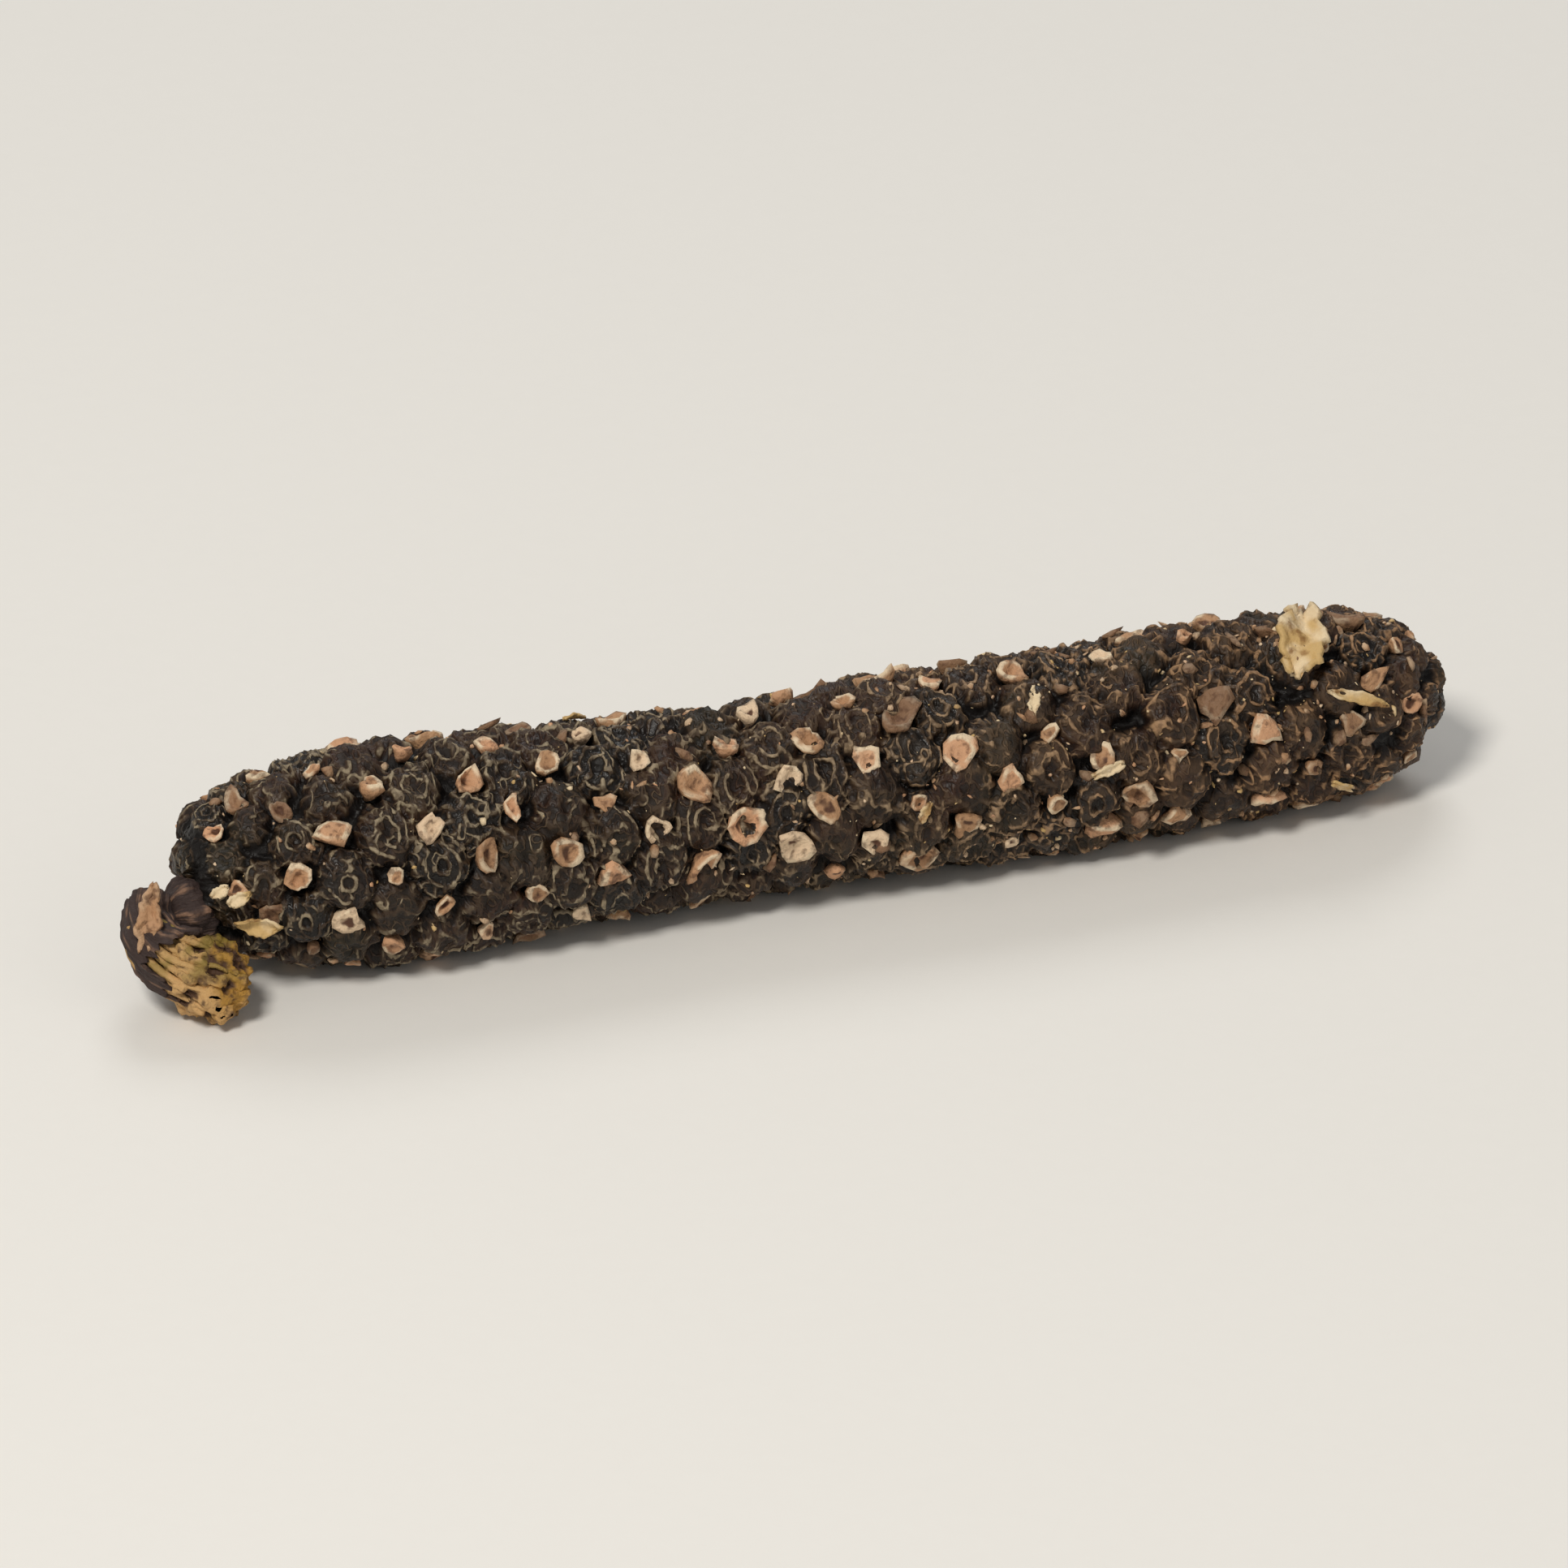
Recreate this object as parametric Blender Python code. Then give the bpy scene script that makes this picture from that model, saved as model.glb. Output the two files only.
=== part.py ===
"""A dried long pepper: a spike of tiny berries grown together, with the torn stub of its stalk.

The spike lies along X on the plane z = 0, its stalk end at -X and its tip at +X.
Berries sit on a spiral lattice, and a small bract fills each gap among four of them.
"""

import math

import bmesh
import bpy
import numpy as np

MM = 0.001

# Size of the spike, over the tops of its berries
SPIKE_LENGTH = 28.8 * MM
SPIKE_RADIUS = 2.25 * MM
STALK_END_SWELL = 0.20 * MM
SWELL_AT = 0.13
SWELL_REACH = 0.13
WAIST_DEPTH = 0.14 * MM
WAIST_AT = 0.42
WAIST_REACH = 0.11
TIP_TAPER = 0.12 * MM
TIP_TAPER_FROM = 0.80
STALK_END_ROUNDING = 3.7 * MM
STALK_END_FACE = 0.58
TIP_ROUNDING = 2.2 * MM
TIP_BLUNTNESS = 2.2

# Berries and bracts
BERRY_RISE = 0.58 * MM
BERRY_REACH = 0.74 * MM
BERRY_COUNT = 222
BERRY_TURN = math.radians(48.0)
BERRY_PHASE = math.radians(-6.0)
BERRIES_TO_GAP = 7.5
FIRST_BERRY_RUN = 1.30 * MM
LAST_BERRY_RUN = 1.15 * MM
END_BERRIES = 30
END_SHRINK = 0.42
SIZE_SPREAD = 0.12
PLACE_SPREAD = 0.16 * MM
TIP_BERRIES = 3
TIP_BERRY_RUN = 0.42 * MM
TIP_BERRY_SIZE = 0.66
FACE_BERRIES = 2
FACE_BERRY_RUN = 0.50 * MM
FACE_BERRY_SIZE = 0.60
FACE_BERRY_ANGLE = math.radians(12.0)
FACE_BERRY_TURN = math.radians(88.0)
BRACT_RADIUS = 0.26 * MM
BRACT_EDGE = 0.08 * MM
BRACT_RISE = 0.42 * MM

# How the spike lies
SPIKE_CENTRE_X = 0.830 * MM
SIDE_BEND_RADIUS = 308.0 * MM
SIDE_BEND_CENTRE_Y = -0.007 * MM
HEIGHT_AT_MIDDLE = 2.13 * MM
HEIGHT_SLOPE = -0.0078

# Stub of the stalk
STALK_GAP = 1.00 * MM
STALK_ROOT_SIDE = -0.30 * MM
STALK_ROOT_DROP = -0.36 * MM
STALK_LENGTH = 3.1 * MM
STALK_ROOT_RADIUS = 0.64 * MM
STALK_END_RADIUS = 0.86 * MM
STALK_ROOT_DIRECTION = (-0.45, -0.80, -0.35)
STALK_END_DIRECTION = (0.92, -0.36, -0.15)
STALK_RIDGES = 7
STALK_RIDGE_SHARE = 0.07
STALK_TEAR = 0.11 * MM
STALK_DISC_ROWS = 0.2

# Fineness of the two solids
SPIKE_COLUMNS = 45
SPIKE_ROWS = 131
STALK_COLUMNS = 28
STALK_ROWS = 16
MERIDIAN_SAMPLES = 4000
NORMAL_REACH = 0.15 * MM

PERICARP_COLOUR = (0.040, 0.028, 0.020)
STALK_COLOUR = (0.300, 0.180, 0.070)


def clear_scene():
    """Empties the file of its starting objects."""
    for item in list(bpy.data.objects):
        bpy.data.objects.remove(item, do_unlink=True)


def make_collection(name):
    """Makes the collection that holds the parts."""
    collection = bpy.data.collections.new(name)
    bpy.context.scene.collection.children.link(collection)
    return collection


def make_material(name, colour, roughness):
    """Makes a plain surface of one colour."""
    material = bpy.data.materials.new(name)
    material.use_nodes = True
    surface = material.node_tree.nodes["Principled BSDF"]
    surface.inputs["Base Color"].default_value = (*colour, 1.0)
    surface.inputs["Roughness"].default_value = roughness
    surface.inputs["Metallic"].default_value = 0.0
    return material


def smooth_step(value):
    """Eases from 0 to 1 as the value goes from 0 to 1."""
    held = np.clip(value, 0.0, 1.0)
    return held * held * (3.0 - 2.0 * held)


def scatter(index, stride):
    """Gives each index its own even draw between -0.5 and 0.5, the same on every run."""
    return np.mod(index * stride, 1.0) - 0.5


def floor_radius(x):
    """Radius of the surface that the berries rise from, at x along its own length."""
    length = SPIKE_LENGTH - 2.0 * BERRY_RISE
    share = x / length
    swell = STALK_END_SWELL * np.exp(-(((share - SWELL_AT) / SWELL_REACH) ** 2))
    waist = WAIST_DEPTH * np.exp(-(((share - WAIST_AT) / WAIST_REACH) ** 2))
    taper = TIP_TAPER * smooth_step((share - TIP_TAPER_FROM) / (1.0 - TIP_TAPER_FROM))
    side = SPIKE_RADIUS - BERRY_RISE + swell - waist - taper
    to_start = np.clip(1.0 - x / STALK_END_ROUNDING, 0.0, 1.0)
    to_tip = np.clip(1.0 - (length - x) / TIP_ROUNDING, 0.0, 1.0)
    start_round = np.sqrt(1.0 - (1.0 - STALK_END_FACE**2) * to_start**2)
    tip_round = (1.0 - to_tip**TIP_BLUNTNESS) ** (1.0 / TIP_BLUNTNESS)
    return side * start_round * tip_round


class Meridian:
    """The outline of the berries' floor, read by its run from the stalk end."""

    def __init__(self):
        length = SPIKE_LENGTH - 2.0 * BERRY_RISE
        turn = np.linspace(0.0, math.pi, MERIDIAN_SAMPLES)
        side_x = 0.5 * length * (1.0 - np.cos(turn))
        self.x = np.concatenate([[0.0], side_x])
        self.radius = np.concatenate([[0.0], floor_radius(side_x)])
        steps = np.hypot(np.diff(self.x), np.diff(self.radius))
        self.run = np.concatenate([[0.0], np.cumsum(steps)])
        self.length = self.run[-1]

    def at(self, run):
        """Place along the axis and radius at a run."""
        return np.interp(run, self.run, self.x), np.interp(run, self.run, self.radius)

    def point(self, run, angle):
        """Points on the floor, with the axis straight and starting at x = 0."""
        x, radius = self.at(run)
        return np.stack([x, radius * np.cos(angle), radius * np.sin(angle)], axis=-1)

    def normal(self, run, angle):
        """Outward directions on the floor."""
        x_before, radius_before = self.at(np.clip(run - NORMAL_REACH, 0.0, self.length))
        x_after, radius_after = self.at(np.clip(run + NORMAL_REACH, 0.0, self.length))
        slope = np.arctan2(radius_after - radius_before, x_after - x_before)
        outward = np.cos(slope)
        return np.stack([-np.sin(slope), outward * np.cos(angle), outward * np.sin(angle)], axis=-1)


def lattice_run(index, meridian):
    """Run of a lattice place and its size, both drawn in towards the spike's two ends."""
    half = 0.5 * (BERRY_COUNT - 1)
    span = meridian.length - FIRST_BERRY_RUN - LAST_BERRY_RUN
    step = 0.5 * span / (half - 0.5 * END_SHRINK * END_BERRIES)
    offset = index - half
    inside = np.clip(np.abs(offset) - (half - END_BERRIES), 0.0, None)
    shrink = 0.5 * END_SHRINK * inside**2 / END_BERRIES
    run = FIRST_BERRY_RUN + 0.5 * span + np.sign(offset) * step * (np.abs(offset) - shrink)
    return run, 1.0 - END_SHRINK * inside / END_BERRIES


def berry_places(meridian):
    """Centres and sizes of the berries, on the floor."""
    index = np.arange(BERRY_COUNT)
    run, size = lattice_run(index, meridian)
    run = run + PLACE_SPREAD * size * scatter(index, 0.7548777)
    around = PLACE_SPREAD * size * scatter(index, 0.5698403)
    angle = BERRY_PHASE + index * BERRY_TURN + around / meridian.at(run)[1]
    size = size * (1.0 + SIZE_SPREAD * scatter(index, 0.6180340))
    tip_run = np.full(TIP_BERRIES, meridian.length - TIP_BERRY_RUN)
    tip_angle = np.arange(TIP_BERRIES) * 2.0 * math.pi / TIP_BERRIES
    tip_size = np.full(TIP_BERRIES, TIP_BERRY_SIZE)
    face_run = np.full(FACE_BERRIES, FACE_BERRY_RUN)
    face_angle = FACE_BERRY_ANGLE + np.arange(FACE_BERRIES) * FACE_BERRY_TURN
    face_size = np.full(FACE_BERRIES, FACE_BERRY_SIZE)
    run = np.concatenate([run, tip_run, face_run])
    angle = np.concatenate([angle, tip_angle, face_angle])
    size = np.concatenate([size, tip_size, face_size])
    return meridian.point(run, angle), size


def bract_places(meridian):
    """Centres and sizes of the bracts, each in the middle of a gap among four berries."""
    index = np.arange(BERRY_COUNT - int(2 * BERRIES_TO_GAP))
    run, size = lattice_run(index + BERRIES_TO_GAP, meridian)
    return meridian.point(run, BERRY_PHASE + index * BERRY_TURN), size


def relief(points, meridian):
    """Height of the berries and bracts above the floor at each point."""
    centres, size = berry_places(meridian)
    distance = np.linalg.norm(points[:, None, :] - centres[None, :, :], axis=2)
    dome = np.sqrt(np.clip(1.0 - (distance / (BERRY_REACH * size)) ** 2, 0.0, None))
    berries = np.max(BERRY_RISE * size * dome, axis=1)
    centres, size = bract_places(meridian)
    distance = np.linalg.norm(points[:, None, :] - centres[None, :, :], axis=2)
    plate = smooth_step((BRACT_RADIUS * size + BRACT_EDGE - distance) / (2.0 * BRACT_EDGE))
    bracts = np.max(BRACT_RISE * size * plate, axis=1)
    return np.maximum(berries, bracts)


def lay_down(points):
    """Bends the straight spike, sets it on the plane and flattens what would go below it."""
    x = points[:, 0] - 0.5 * (SPIKE_LENGTH - 2.0 * BERRY_RISE)
    y = points[:, 1] + SIDE_BEND_CENTRE_Y + 0.5 * x * x / SIDE_BEND_RADIUS
    z = points[:, 2] + HEIGHT_AT_MIDDLE + HEIGHT_SLOPE * x
    return np.stack([x + SPIKE_CENTRE_X, y, np.maximum(z, 0.0)], axis=-1)


def sphere_mesh(name, columns, rows, place):
    """Makes a closed mesh from a sphere, each point moved by a rule.

    The rule takes the share of the way from pole to pole and the angle round it.
    """
    body = bmesh.new()
    bmesh.ops.create_uvsphere(body, u_segments=columns, v_segments=rows, radius=1.0)
    body.verts.ensure_lookup_table()
    sphere = np.array([vert.co[:] for vert in body.verts])
    share = np.arccos(np.clip(-sphere[:, 2], -1.0, 1.0)) / math.pi
    angle = np.arctan2(sphere[:, 1], sphere[:, 0])
    for vert, moved in zip(body.verts, place(share, angle)):
        vert.co = moved
    bmesh.ops.triangulate(body, faces=body.faces[:])
    mesh = bpy.data.meshes.new(name)
    body.to_mesh(mesh)
    body.free()
    mesh.shade_smooth()
    return mesh


def add_part(name, mesh, material, collection):
    """Adds a named object that carries one material."""
    mesh.materials.append(material)
    part = bpy.data.objects.new(name, mesh)
    collection.objects.link(part)
    return part


def build_spike(collection):
    """The spike: berries and bracts raised from one closed surface."""
    meridian = Meridian()

    def place(share, turn):
        run = share * meridian.length
        angle = turn + BERRY_PHASE
        floor = meridian.point(run, angle)
        raised = floor + relief(floor, meridian)[:, None] * meridian.normal(run, angle)
        return lay_down(raised)

    mesh = sphere_mesh("spike", SPIKE_COLUMNS, SPIKE_ROWS, place)
    material = make_material("dried pericarp", PERICARP_COLOUR, 0.62)
    return add_part("spike", mesh, material, collection)


def stalk_root():
    """The point where the stub starts, clear of the spike's end."""
    off_floor = np.array([[-STALK_GAP, STALK_ROOT_SIDE, STALK_ROOT_DROP]])
    return lay_down(off_floor)[0]


def stalk_frame(reach):
    """Middle line of the stub, its direction and two directions across it."""
    start = np.array(STALK_ROOT_DIRECTION) / np.linalg.norm(STALK_ROOT_DIRECTION)
    end = np.array(STALK_END_DIRECTION) / np.linalg.norm(STALK_END_DIRECTION)
    along = reach[:, None]
    tangent = start + along * (end - start)
    tangent /= np.linalg.norm(tangent, axis=1)[:, None]
    side = np.cross(tangent, [0.0, 0.0, 1.0])
    side /= np.linalg.norm(side, axis=1)[:, None]
    up = np.cross(tangent, side)
    middle = stalk_root() + STALK_LENGTH * along * (start + 0.5 * along * (end - start))
    return middle, tangent, side, up


def build_stalk(collection):
    """The stub: a short ridged stalk that bends as it leaves the spike and ends in a tear."""

    def place(share, angle):
        reach = np.clip((share - STALK_DISC_ROWS) / (1.0 - 2.0 * STALK_DISC_ROWS), 0.0, 1.0)
        spread = np.minimum(1.0, np.minimum(share, 1.0 - share) / STALK_DISC_ROWS)
        middle, tangent, side, up = stalk_frame(reach)
        radius = STALK_ROOT_RADIUS + (STALK_END_RADIUS - STALK_ROOT_RADIUS) * reach
        ridge = 1.0 + STALK_RIDGE_SHARE * np.cos(STALK_RIDGES * angle) * smooth_step(2.0 * reach)
        ring = (radius * ridge * spread)[:, None]
        rim = ring * (side * np.cos(angle)[:, None] + up * np.sin(angle)[:, None])
        waves = np.sin(2.0 * angle + 0.6) + 0.5 * np.sin(5.0 * angle)
        tear = STALK_TEAR * smooth_step(2.0 * reach - 1.0) * waves * spread
        return middle + rim + tear[:, None] * tangent

    mesh = sphere_mesh("stalk", STALK_COLUMNS, STALK_ROWS, place)
    material = make_material("dry stalk", STALK_COLOUR, 0.75)
    return add_part("stalk", mesh, material, collection)


def main():
    clear_scene()
    collection = make_collection("javanese long pepper")
    build_spike(collection)
    build_stalk(collection)


if __name__ == "__main__":
    main()
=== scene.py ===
"""A dried long pepper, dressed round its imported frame.

Run as a script in Blender 4.5. Each piece or group of like pieces has its own operator, and a
panel in the sidebar of the 3D view lists them with their sizes and colours. Lengths are in metres.
"""

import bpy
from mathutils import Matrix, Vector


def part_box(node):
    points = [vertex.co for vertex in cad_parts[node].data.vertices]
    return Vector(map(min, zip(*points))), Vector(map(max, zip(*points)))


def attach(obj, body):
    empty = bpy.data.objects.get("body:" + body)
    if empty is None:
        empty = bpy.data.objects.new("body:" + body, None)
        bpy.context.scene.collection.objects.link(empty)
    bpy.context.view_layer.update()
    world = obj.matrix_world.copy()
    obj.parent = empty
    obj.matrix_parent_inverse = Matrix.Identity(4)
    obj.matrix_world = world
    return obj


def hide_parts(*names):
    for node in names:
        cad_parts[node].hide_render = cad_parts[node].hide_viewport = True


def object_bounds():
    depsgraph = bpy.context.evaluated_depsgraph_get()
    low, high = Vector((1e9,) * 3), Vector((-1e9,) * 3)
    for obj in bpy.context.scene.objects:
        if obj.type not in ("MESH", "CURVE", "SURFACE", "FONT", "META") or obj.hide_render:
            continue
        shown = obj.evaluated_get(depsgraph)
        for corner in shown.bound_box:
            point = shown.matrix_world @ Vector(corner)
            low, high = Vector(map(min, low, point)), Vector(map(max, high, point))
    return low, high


bl_info = {
    "name": "Dried Long Pepper",
    "version": (1, 0, 0),
    "blender": (4, 5, 0),
    "location": "View3D > Sidebar > Long Pepper",
    "description": "Builds a dried long pepper: berries, bracts, torn stub of stalk, chaff and a stage",
    "category": "Add Mesh",
}

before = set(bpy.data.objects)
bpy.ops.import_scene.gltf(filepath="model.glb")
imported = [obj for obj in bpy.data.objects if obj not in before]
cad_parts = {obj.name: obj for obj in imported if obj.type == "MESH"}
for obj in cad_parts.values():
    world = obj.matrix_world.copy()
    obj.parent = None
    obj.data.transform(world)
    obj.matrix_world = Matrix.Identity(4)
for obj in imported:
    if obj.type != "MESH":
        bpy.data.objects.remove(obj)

import math
from functools import partial

import bmesh
import bpy
import numpy as np
from bpy.props import FloatProperty, FloatVectorProperty, IntProperty, PointerProperty
from bpy.types import Operator, Panel, PropertyGroup
from mathutils import Vector

CAD_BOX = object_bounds()
SPIKE_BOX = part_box("spike")
BODY = "root"
MM = 0.001
TURN = 2.0 * math.pi

# Form of the spike's solid, which the skin keeps
SPIKE_LENGTH = 28.8 * MM
SPIKE_RADIUS = 2.25 * MM
STALK_END_SWELL = 0.20 * MM
SWELL_AT = 0.13
SWELL_REACH = 0.13
WAIST_DEPTH = 0.14 * MM
WAIST_AT = 0.42
WAIST_REACH = 0.11
TIP_TAPER = 0.12 * MM
TIP_TAPER_FROM = 0.80
STALK_END_ROUNDING = 3.7 * MM
STALK_END_FACE = 0.58
TIP_ROUNDING = 2.2 * MM
TIP_BLUNTNESS = 2.2
SPIKE_CENTRE_X = 0.830 * MM
SIDE_BEND_RADIUS = 308.0 * MM
SIDE_BEND_CENTRE_Y = -0.007 * MM
HEIGHT_AT_MIDDLE = 2.13 * MM
HEIGHT_SLOPE = -0.0078
MERIDIAN_SAMPLES = 4000
NORMAL_REACH = 0.15 * MM

# Places of its berries and bracts, which the fine ones keep
BERRY_RISE = 0.58 * MM
BERRY_REACH = 0.74 * MM
BERRY_COUNT = 222
BERRY_TURN = math.radians(48.0)
BERRY_PHASE = math.radians(-6.0)
BERRIES_TO_GAP = 7.5
FIRST_BERRY_RUN = 1.30 * MM
LAST_BERRY_RUN = 1.15 * MM
END_BERRIES = 30
END_SHRINK = 0.42
SIZE_SPREAD = 0.12
PLACE_SPREAD = 0.16 * MM
TIP_BERRIES = 3
TIP_BERRY_RUN = 0.42 * MM
TIP_BERRY_SIZE = 0.66
FACE_BERRIES = 2
FACE_BERRY_RUN = 0.50 * MM
FACE_BERRY_SIZE = 0.60
FACE_BERRY_ANGLE = math.radians(12.0)
FACE_BERRY_TURN = math.radians(88.0)

# Path of the stub's solid, which its bark, pith and fibres follow
STALK_GAP = 1.00 * MM
STALK_ROOT_SIDE = -0.30 * MM
STALK_ROOT_DROP = -0.36 * MM
STALK_LENGTH = 3.1 * MM
STALK_ROOT_RADIUS = 0.64 * MM
STALK_END_RADIUS = 0.86 * MM
STALK_ROOT_DIRECTION = (-0.45, -0.80, -0.35)
STALK_END_DIRECTION = (0.92, -0.36, -0.15)

# How far the torn end sags past the end of that path
STALK_SAG = (0.16 * MM, -0.05 * MM, -0.22 * MM)

# Scale of the streaks on the bark
STREAKS_ROUND = 6.0
STREAKS_ALONG = 3.0

# Strides that spread even draws over the berries and bracts
SIZE_STRIDE = 0.6180340
RUN_STRIDE = 0.7548777
ROUND_STRIDE = 0.5698403
DRAW_STRIDE = 0.4142136
GOLDEN_ANGLE = math.pi * (3.0 - math.sqrt(5.0))


def kinds(name, setting, *choices):
    """Kinds of one node that differ in one setting."""
    return [(name, {setting: choice}) for choice in choices]


# Kinds of nodes, most with a setting
NOISE = "ShaderNodeTexNoise"
ATTRIBUTE = "ShaderNodeAttribute"
COMBINE = "ShaderNodeCombineXYZ"
SEPARATE = "ShaderNodeSeparateXYZ"
RANGE = "ShaderNodeMapRange"
EASE = (RANGE, {"interpolation_type": "SMOOTHSTEP"})
BLEND = ("ShaderNodeMix", {"data_type": "RGBA"})
PLUS, MINUS, TIMES, OVER, POWER, ROOT = kinds(
    "ShaderNodeMath", "operation", "ADD", "SUBTRACT", "MULTIPLY", "DIVIDE", "POWER", "SQRT"
)
ROUND, LARGER, COSINE, SINE, ANGLE = kinds(
    "ShaderNodeMath", "operation", "ROUND", "MAXIMUM", "COSINE", "SINE", "ARCTAN2"
)
SHIFT, OFFSET, STRETCH, CROSS = kinds(
    "ShaderNodeVectorMath", "operation", "ADD", "SUBTRACT", "SCALE", "CROSS_PRODUCT"
)
DOT, LENGTH, HIGHER, LOWER = kinds(
    "ShaderNodeVectorMath", "operation", "DOT_PRODUCT", "LENGTH", "MAXIMUM", "MINIMUM"
)
READ, READ_VECTOR = kinds("GeometryNodeInputNamedAttribute", "data_type", "FLOAT", "FLOAT_VECTOR")
KEEP, KEEP_VECTOR = kinds("GeometryNodeStoreNamedAttribute", "data_type", "FLOAT", "FLOAT_VECTOR")
KEEP_EACH = (KEEP[0], {**KEEP[1], "domain": "INSTANCE"})
DRAW, DRAW_COUNT, DRAW_VECTOR = kinds(
    "FunctionNodeRandomValue", "data_type", "FLOAT", "INT", "FLOAT_VECTOR"
)
POSITION = "GeometryNodeInputPosition"
NORMAL = "GeometryNodeInputNormal"
INFO = "GeometryNodeObjectInfo"
ON_POINTS = "GeometryNodeInstanceOnPoints"
REALIZE = "GeometryNodeRealizeInstances"
FROM_ANGLES = "FunctionNodeEulerToRotation"
ROTATE = ("FunctionNodeRotateRotation", {"rotation_space": "LOCAL"})


def linear(hex_value):
    """Turns an sRGB hex value into a linear colour."""
    channels = [(hex_value >> shift & 255) / 255.0 for shift in (16, 8, 0)]
    return tuple(c / 12.92 if c <= 0.04045 else ((c + 0.055) / 1.055) ** 2.4 for c in channels)


def setting(kind, turned=float, **fixed):
    """A kind of setting, which takes a name, a description and a default."""

    def declare(name, description, default):
        return kind(name=name, description=description, default=turned(default), **fixed)

    return declare


size_of = setting(FloatProperty, unit="LENGTH", precision=6)
share_of = setting(FloatProperty, subtype="FACTOR")
angle_of = setting(FloatProperty, math.radians, subtype="ANGLE")
count_of = setting(IntProperty, int, min=1)
colour_of = setting(FloatVectorProperty, linear, subtype="COLOR")


class SkinSettings(PropertyGroup):
    """How the berries have shrivelled, and their colours."""

    columns: count_of("Columns", "Faces round the skin", 234)
    rows: count_of("Rows", "Faces from end to end", 425)
    lift: size_of("Lift", "Raise of the skin over the floor of the solid's berries", 0.12 * MM)
    fullness: share_of("Fullness", "Height of a berry, as a share of the solid's", 1.08)
    grown: share_of("Grown together", "Height of a gap, as a share of a berry's", 0.30)
    rings: share_of("Rings", "Drying rings on a berry", 3.3)
    ring_height: size_of("Ring height", "Height of a wrinkle's crest", 0.075 * MM)
    sink: size_of("Sunken top", "Most that a berry's top has sunk", 0.15 * MM)
    scar: size_of("Scar", "Depth of the scar in the middle of a top", 0.05 * MM)
    dent_size: size_of("Dent size", "Size of the dents left by drying", 0.50 * MM)
    dent_depth: size_of("Dent depth", "Depth of those dents", 0.12 * MM)
    fold_depth: size_of("Fold depth", "Depth of the folds that run down a berry", 0.08 * MM)
    # Painted shade: laid in the grooves between the wrinkles and in the gaps among the berries
    black: colour_of("Black", "Skin in the gaps", 0x0D0806)
    slate: colour_of("Slate", "Smooth, cool dark skin", 0x1A1613)
    brown: colour_of("Brown", "Common skin", 0x271A11)
    red_brown: colour_of("Red brown", "Warm skin", 0x331D12)
    olive: colour_of("Olive", "Skin that was still green when dried", 0x272212)
    # These three colours make a ramp from the flanks of the wrinkles up to their crests, laid as dusting
    # with painted highlight, warmer towards the tip
    worn: colour_of("Worn", "Flanks of the wrinkles", 0x453424)
    crest: colour_of("Crest", "Grey tan crests of the wrinkles", 0x9F9076)
    dust: colour_of("Dust", "Warm dust on the tip half", 0xA98460)


class BractSettings(PropertyGroup):
    """Bracts: the small dry shields in the gaps among the berries."""

    radius: size_of("Radius", "Radius of a bract", 0.33 * MM)
    rise: size_of("Rise", "Height of a bract over the berries' floor", 0.49 * MM)
    stray: size_of("Stray", "Most that a bract strays from the middle of its gap", 0.13 * MM)
    spread: share_of("Spread", "Spread of the bracts' lengths and widths", 0.40)
    smallest: share_of("Smallest", "Size of the smallest bract", 0.55)
    largest: share_of("Largest", "Size of the largest bract", 1.30)
    lean: angle_of("Lean", "Most lean", 20.0)
    missing: share_of("Missing", "Share that has fallen", 0.10)
    crumple: size_of("Crumple", "How far a bract is bent out of shape", 0.34 * MM)
    scraps: count_of("Scraps", "Broken bits of bract", 560)
    scrap_radius: size_of("Scrap radius", "Radius of such a bit", 0.12 * MM)
    seed: count_of("Seed", "Seed of the random draws", 7)
    tan: colour_of("Tan", "Common bract", 0xB68C66)
    peach: colour_of("Peach", "Warm bract", 0xD3A17A)
    # Pale: painted highlight on the raised rim of a bract, and the colour of bracts of low tone
    pale: colour_of("Pale", "Rim of a bract", 0xEBD5B4)
    dark: colour_of("Dark", "Pit and cracks", 0x573724)
    umber: colour_of("Umber", "Bract that has darkened", 0x74563E)


class StalkSettings(PropertyGroup):
    """Stub of the stalk: bark, pith and torn fibres."""

    wall: share_of("Wall", "Thickness of the bark, as a share of its radius", 0.10)
    torn_back: share_of("Torn back", "How far the bark is torn back on one side", 0.26)
    torn_side: angle_of("Torn side", "Middle of that side", -38.0)
    fibres: count_of("Fibres", "Count of torn fibres", 46)
    fibre_radius: size_of("Fibre radius", "Radius of a fibre", 0.070 * MM)
    seed: count_of("Seed", "Seed of the random draws", 11)
    bark: colour_of("Bark", "Outside of the stub", 0x3A2B27)
    ridge: colour_of("Bark ridge", "Worn ridges of the bark", 0x8A6A54)
    ochre: colour_of("Ochre", "Pith and fibres", 0xB08233)
    # Straw is also painted as highlight on the raised tops of the lumps of pith
    straw: colour_of("Straw", "Where fibres broke", 0xCDA36B)
    olive: colour_of("Olive", "Damp part of the pith", 0x7E6B26)
    # Painted shade in the clefts between the lumps of pith, also laid in random dark mottle
    cleft: colour_of("Cleft", "Clefts between the lumps of pith", 0x4A2F1A)


class ChaffSettings(PropertyGroup):
    """Chaff, flake and slivers: broken bits that cling to the berries."""

    crumbs: count_of("Crumbs", "Count of crumbs of chaff", 520)
    crumb_radius: size_of("Crumb radius", "Radius of a crumb", 0.05 * MM)
    seed: count_of("Seed", "Seed of the random draws", 5)
    cream: colour_of("Cream", "Pale husk and crumbs", 0xE6D0AA)
    straw: colour_of("Straw", "Yellow husk", 0xCDAB70)
    stain: colour_of("Stain", "Stained husk", 0x8E6636)


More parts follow.
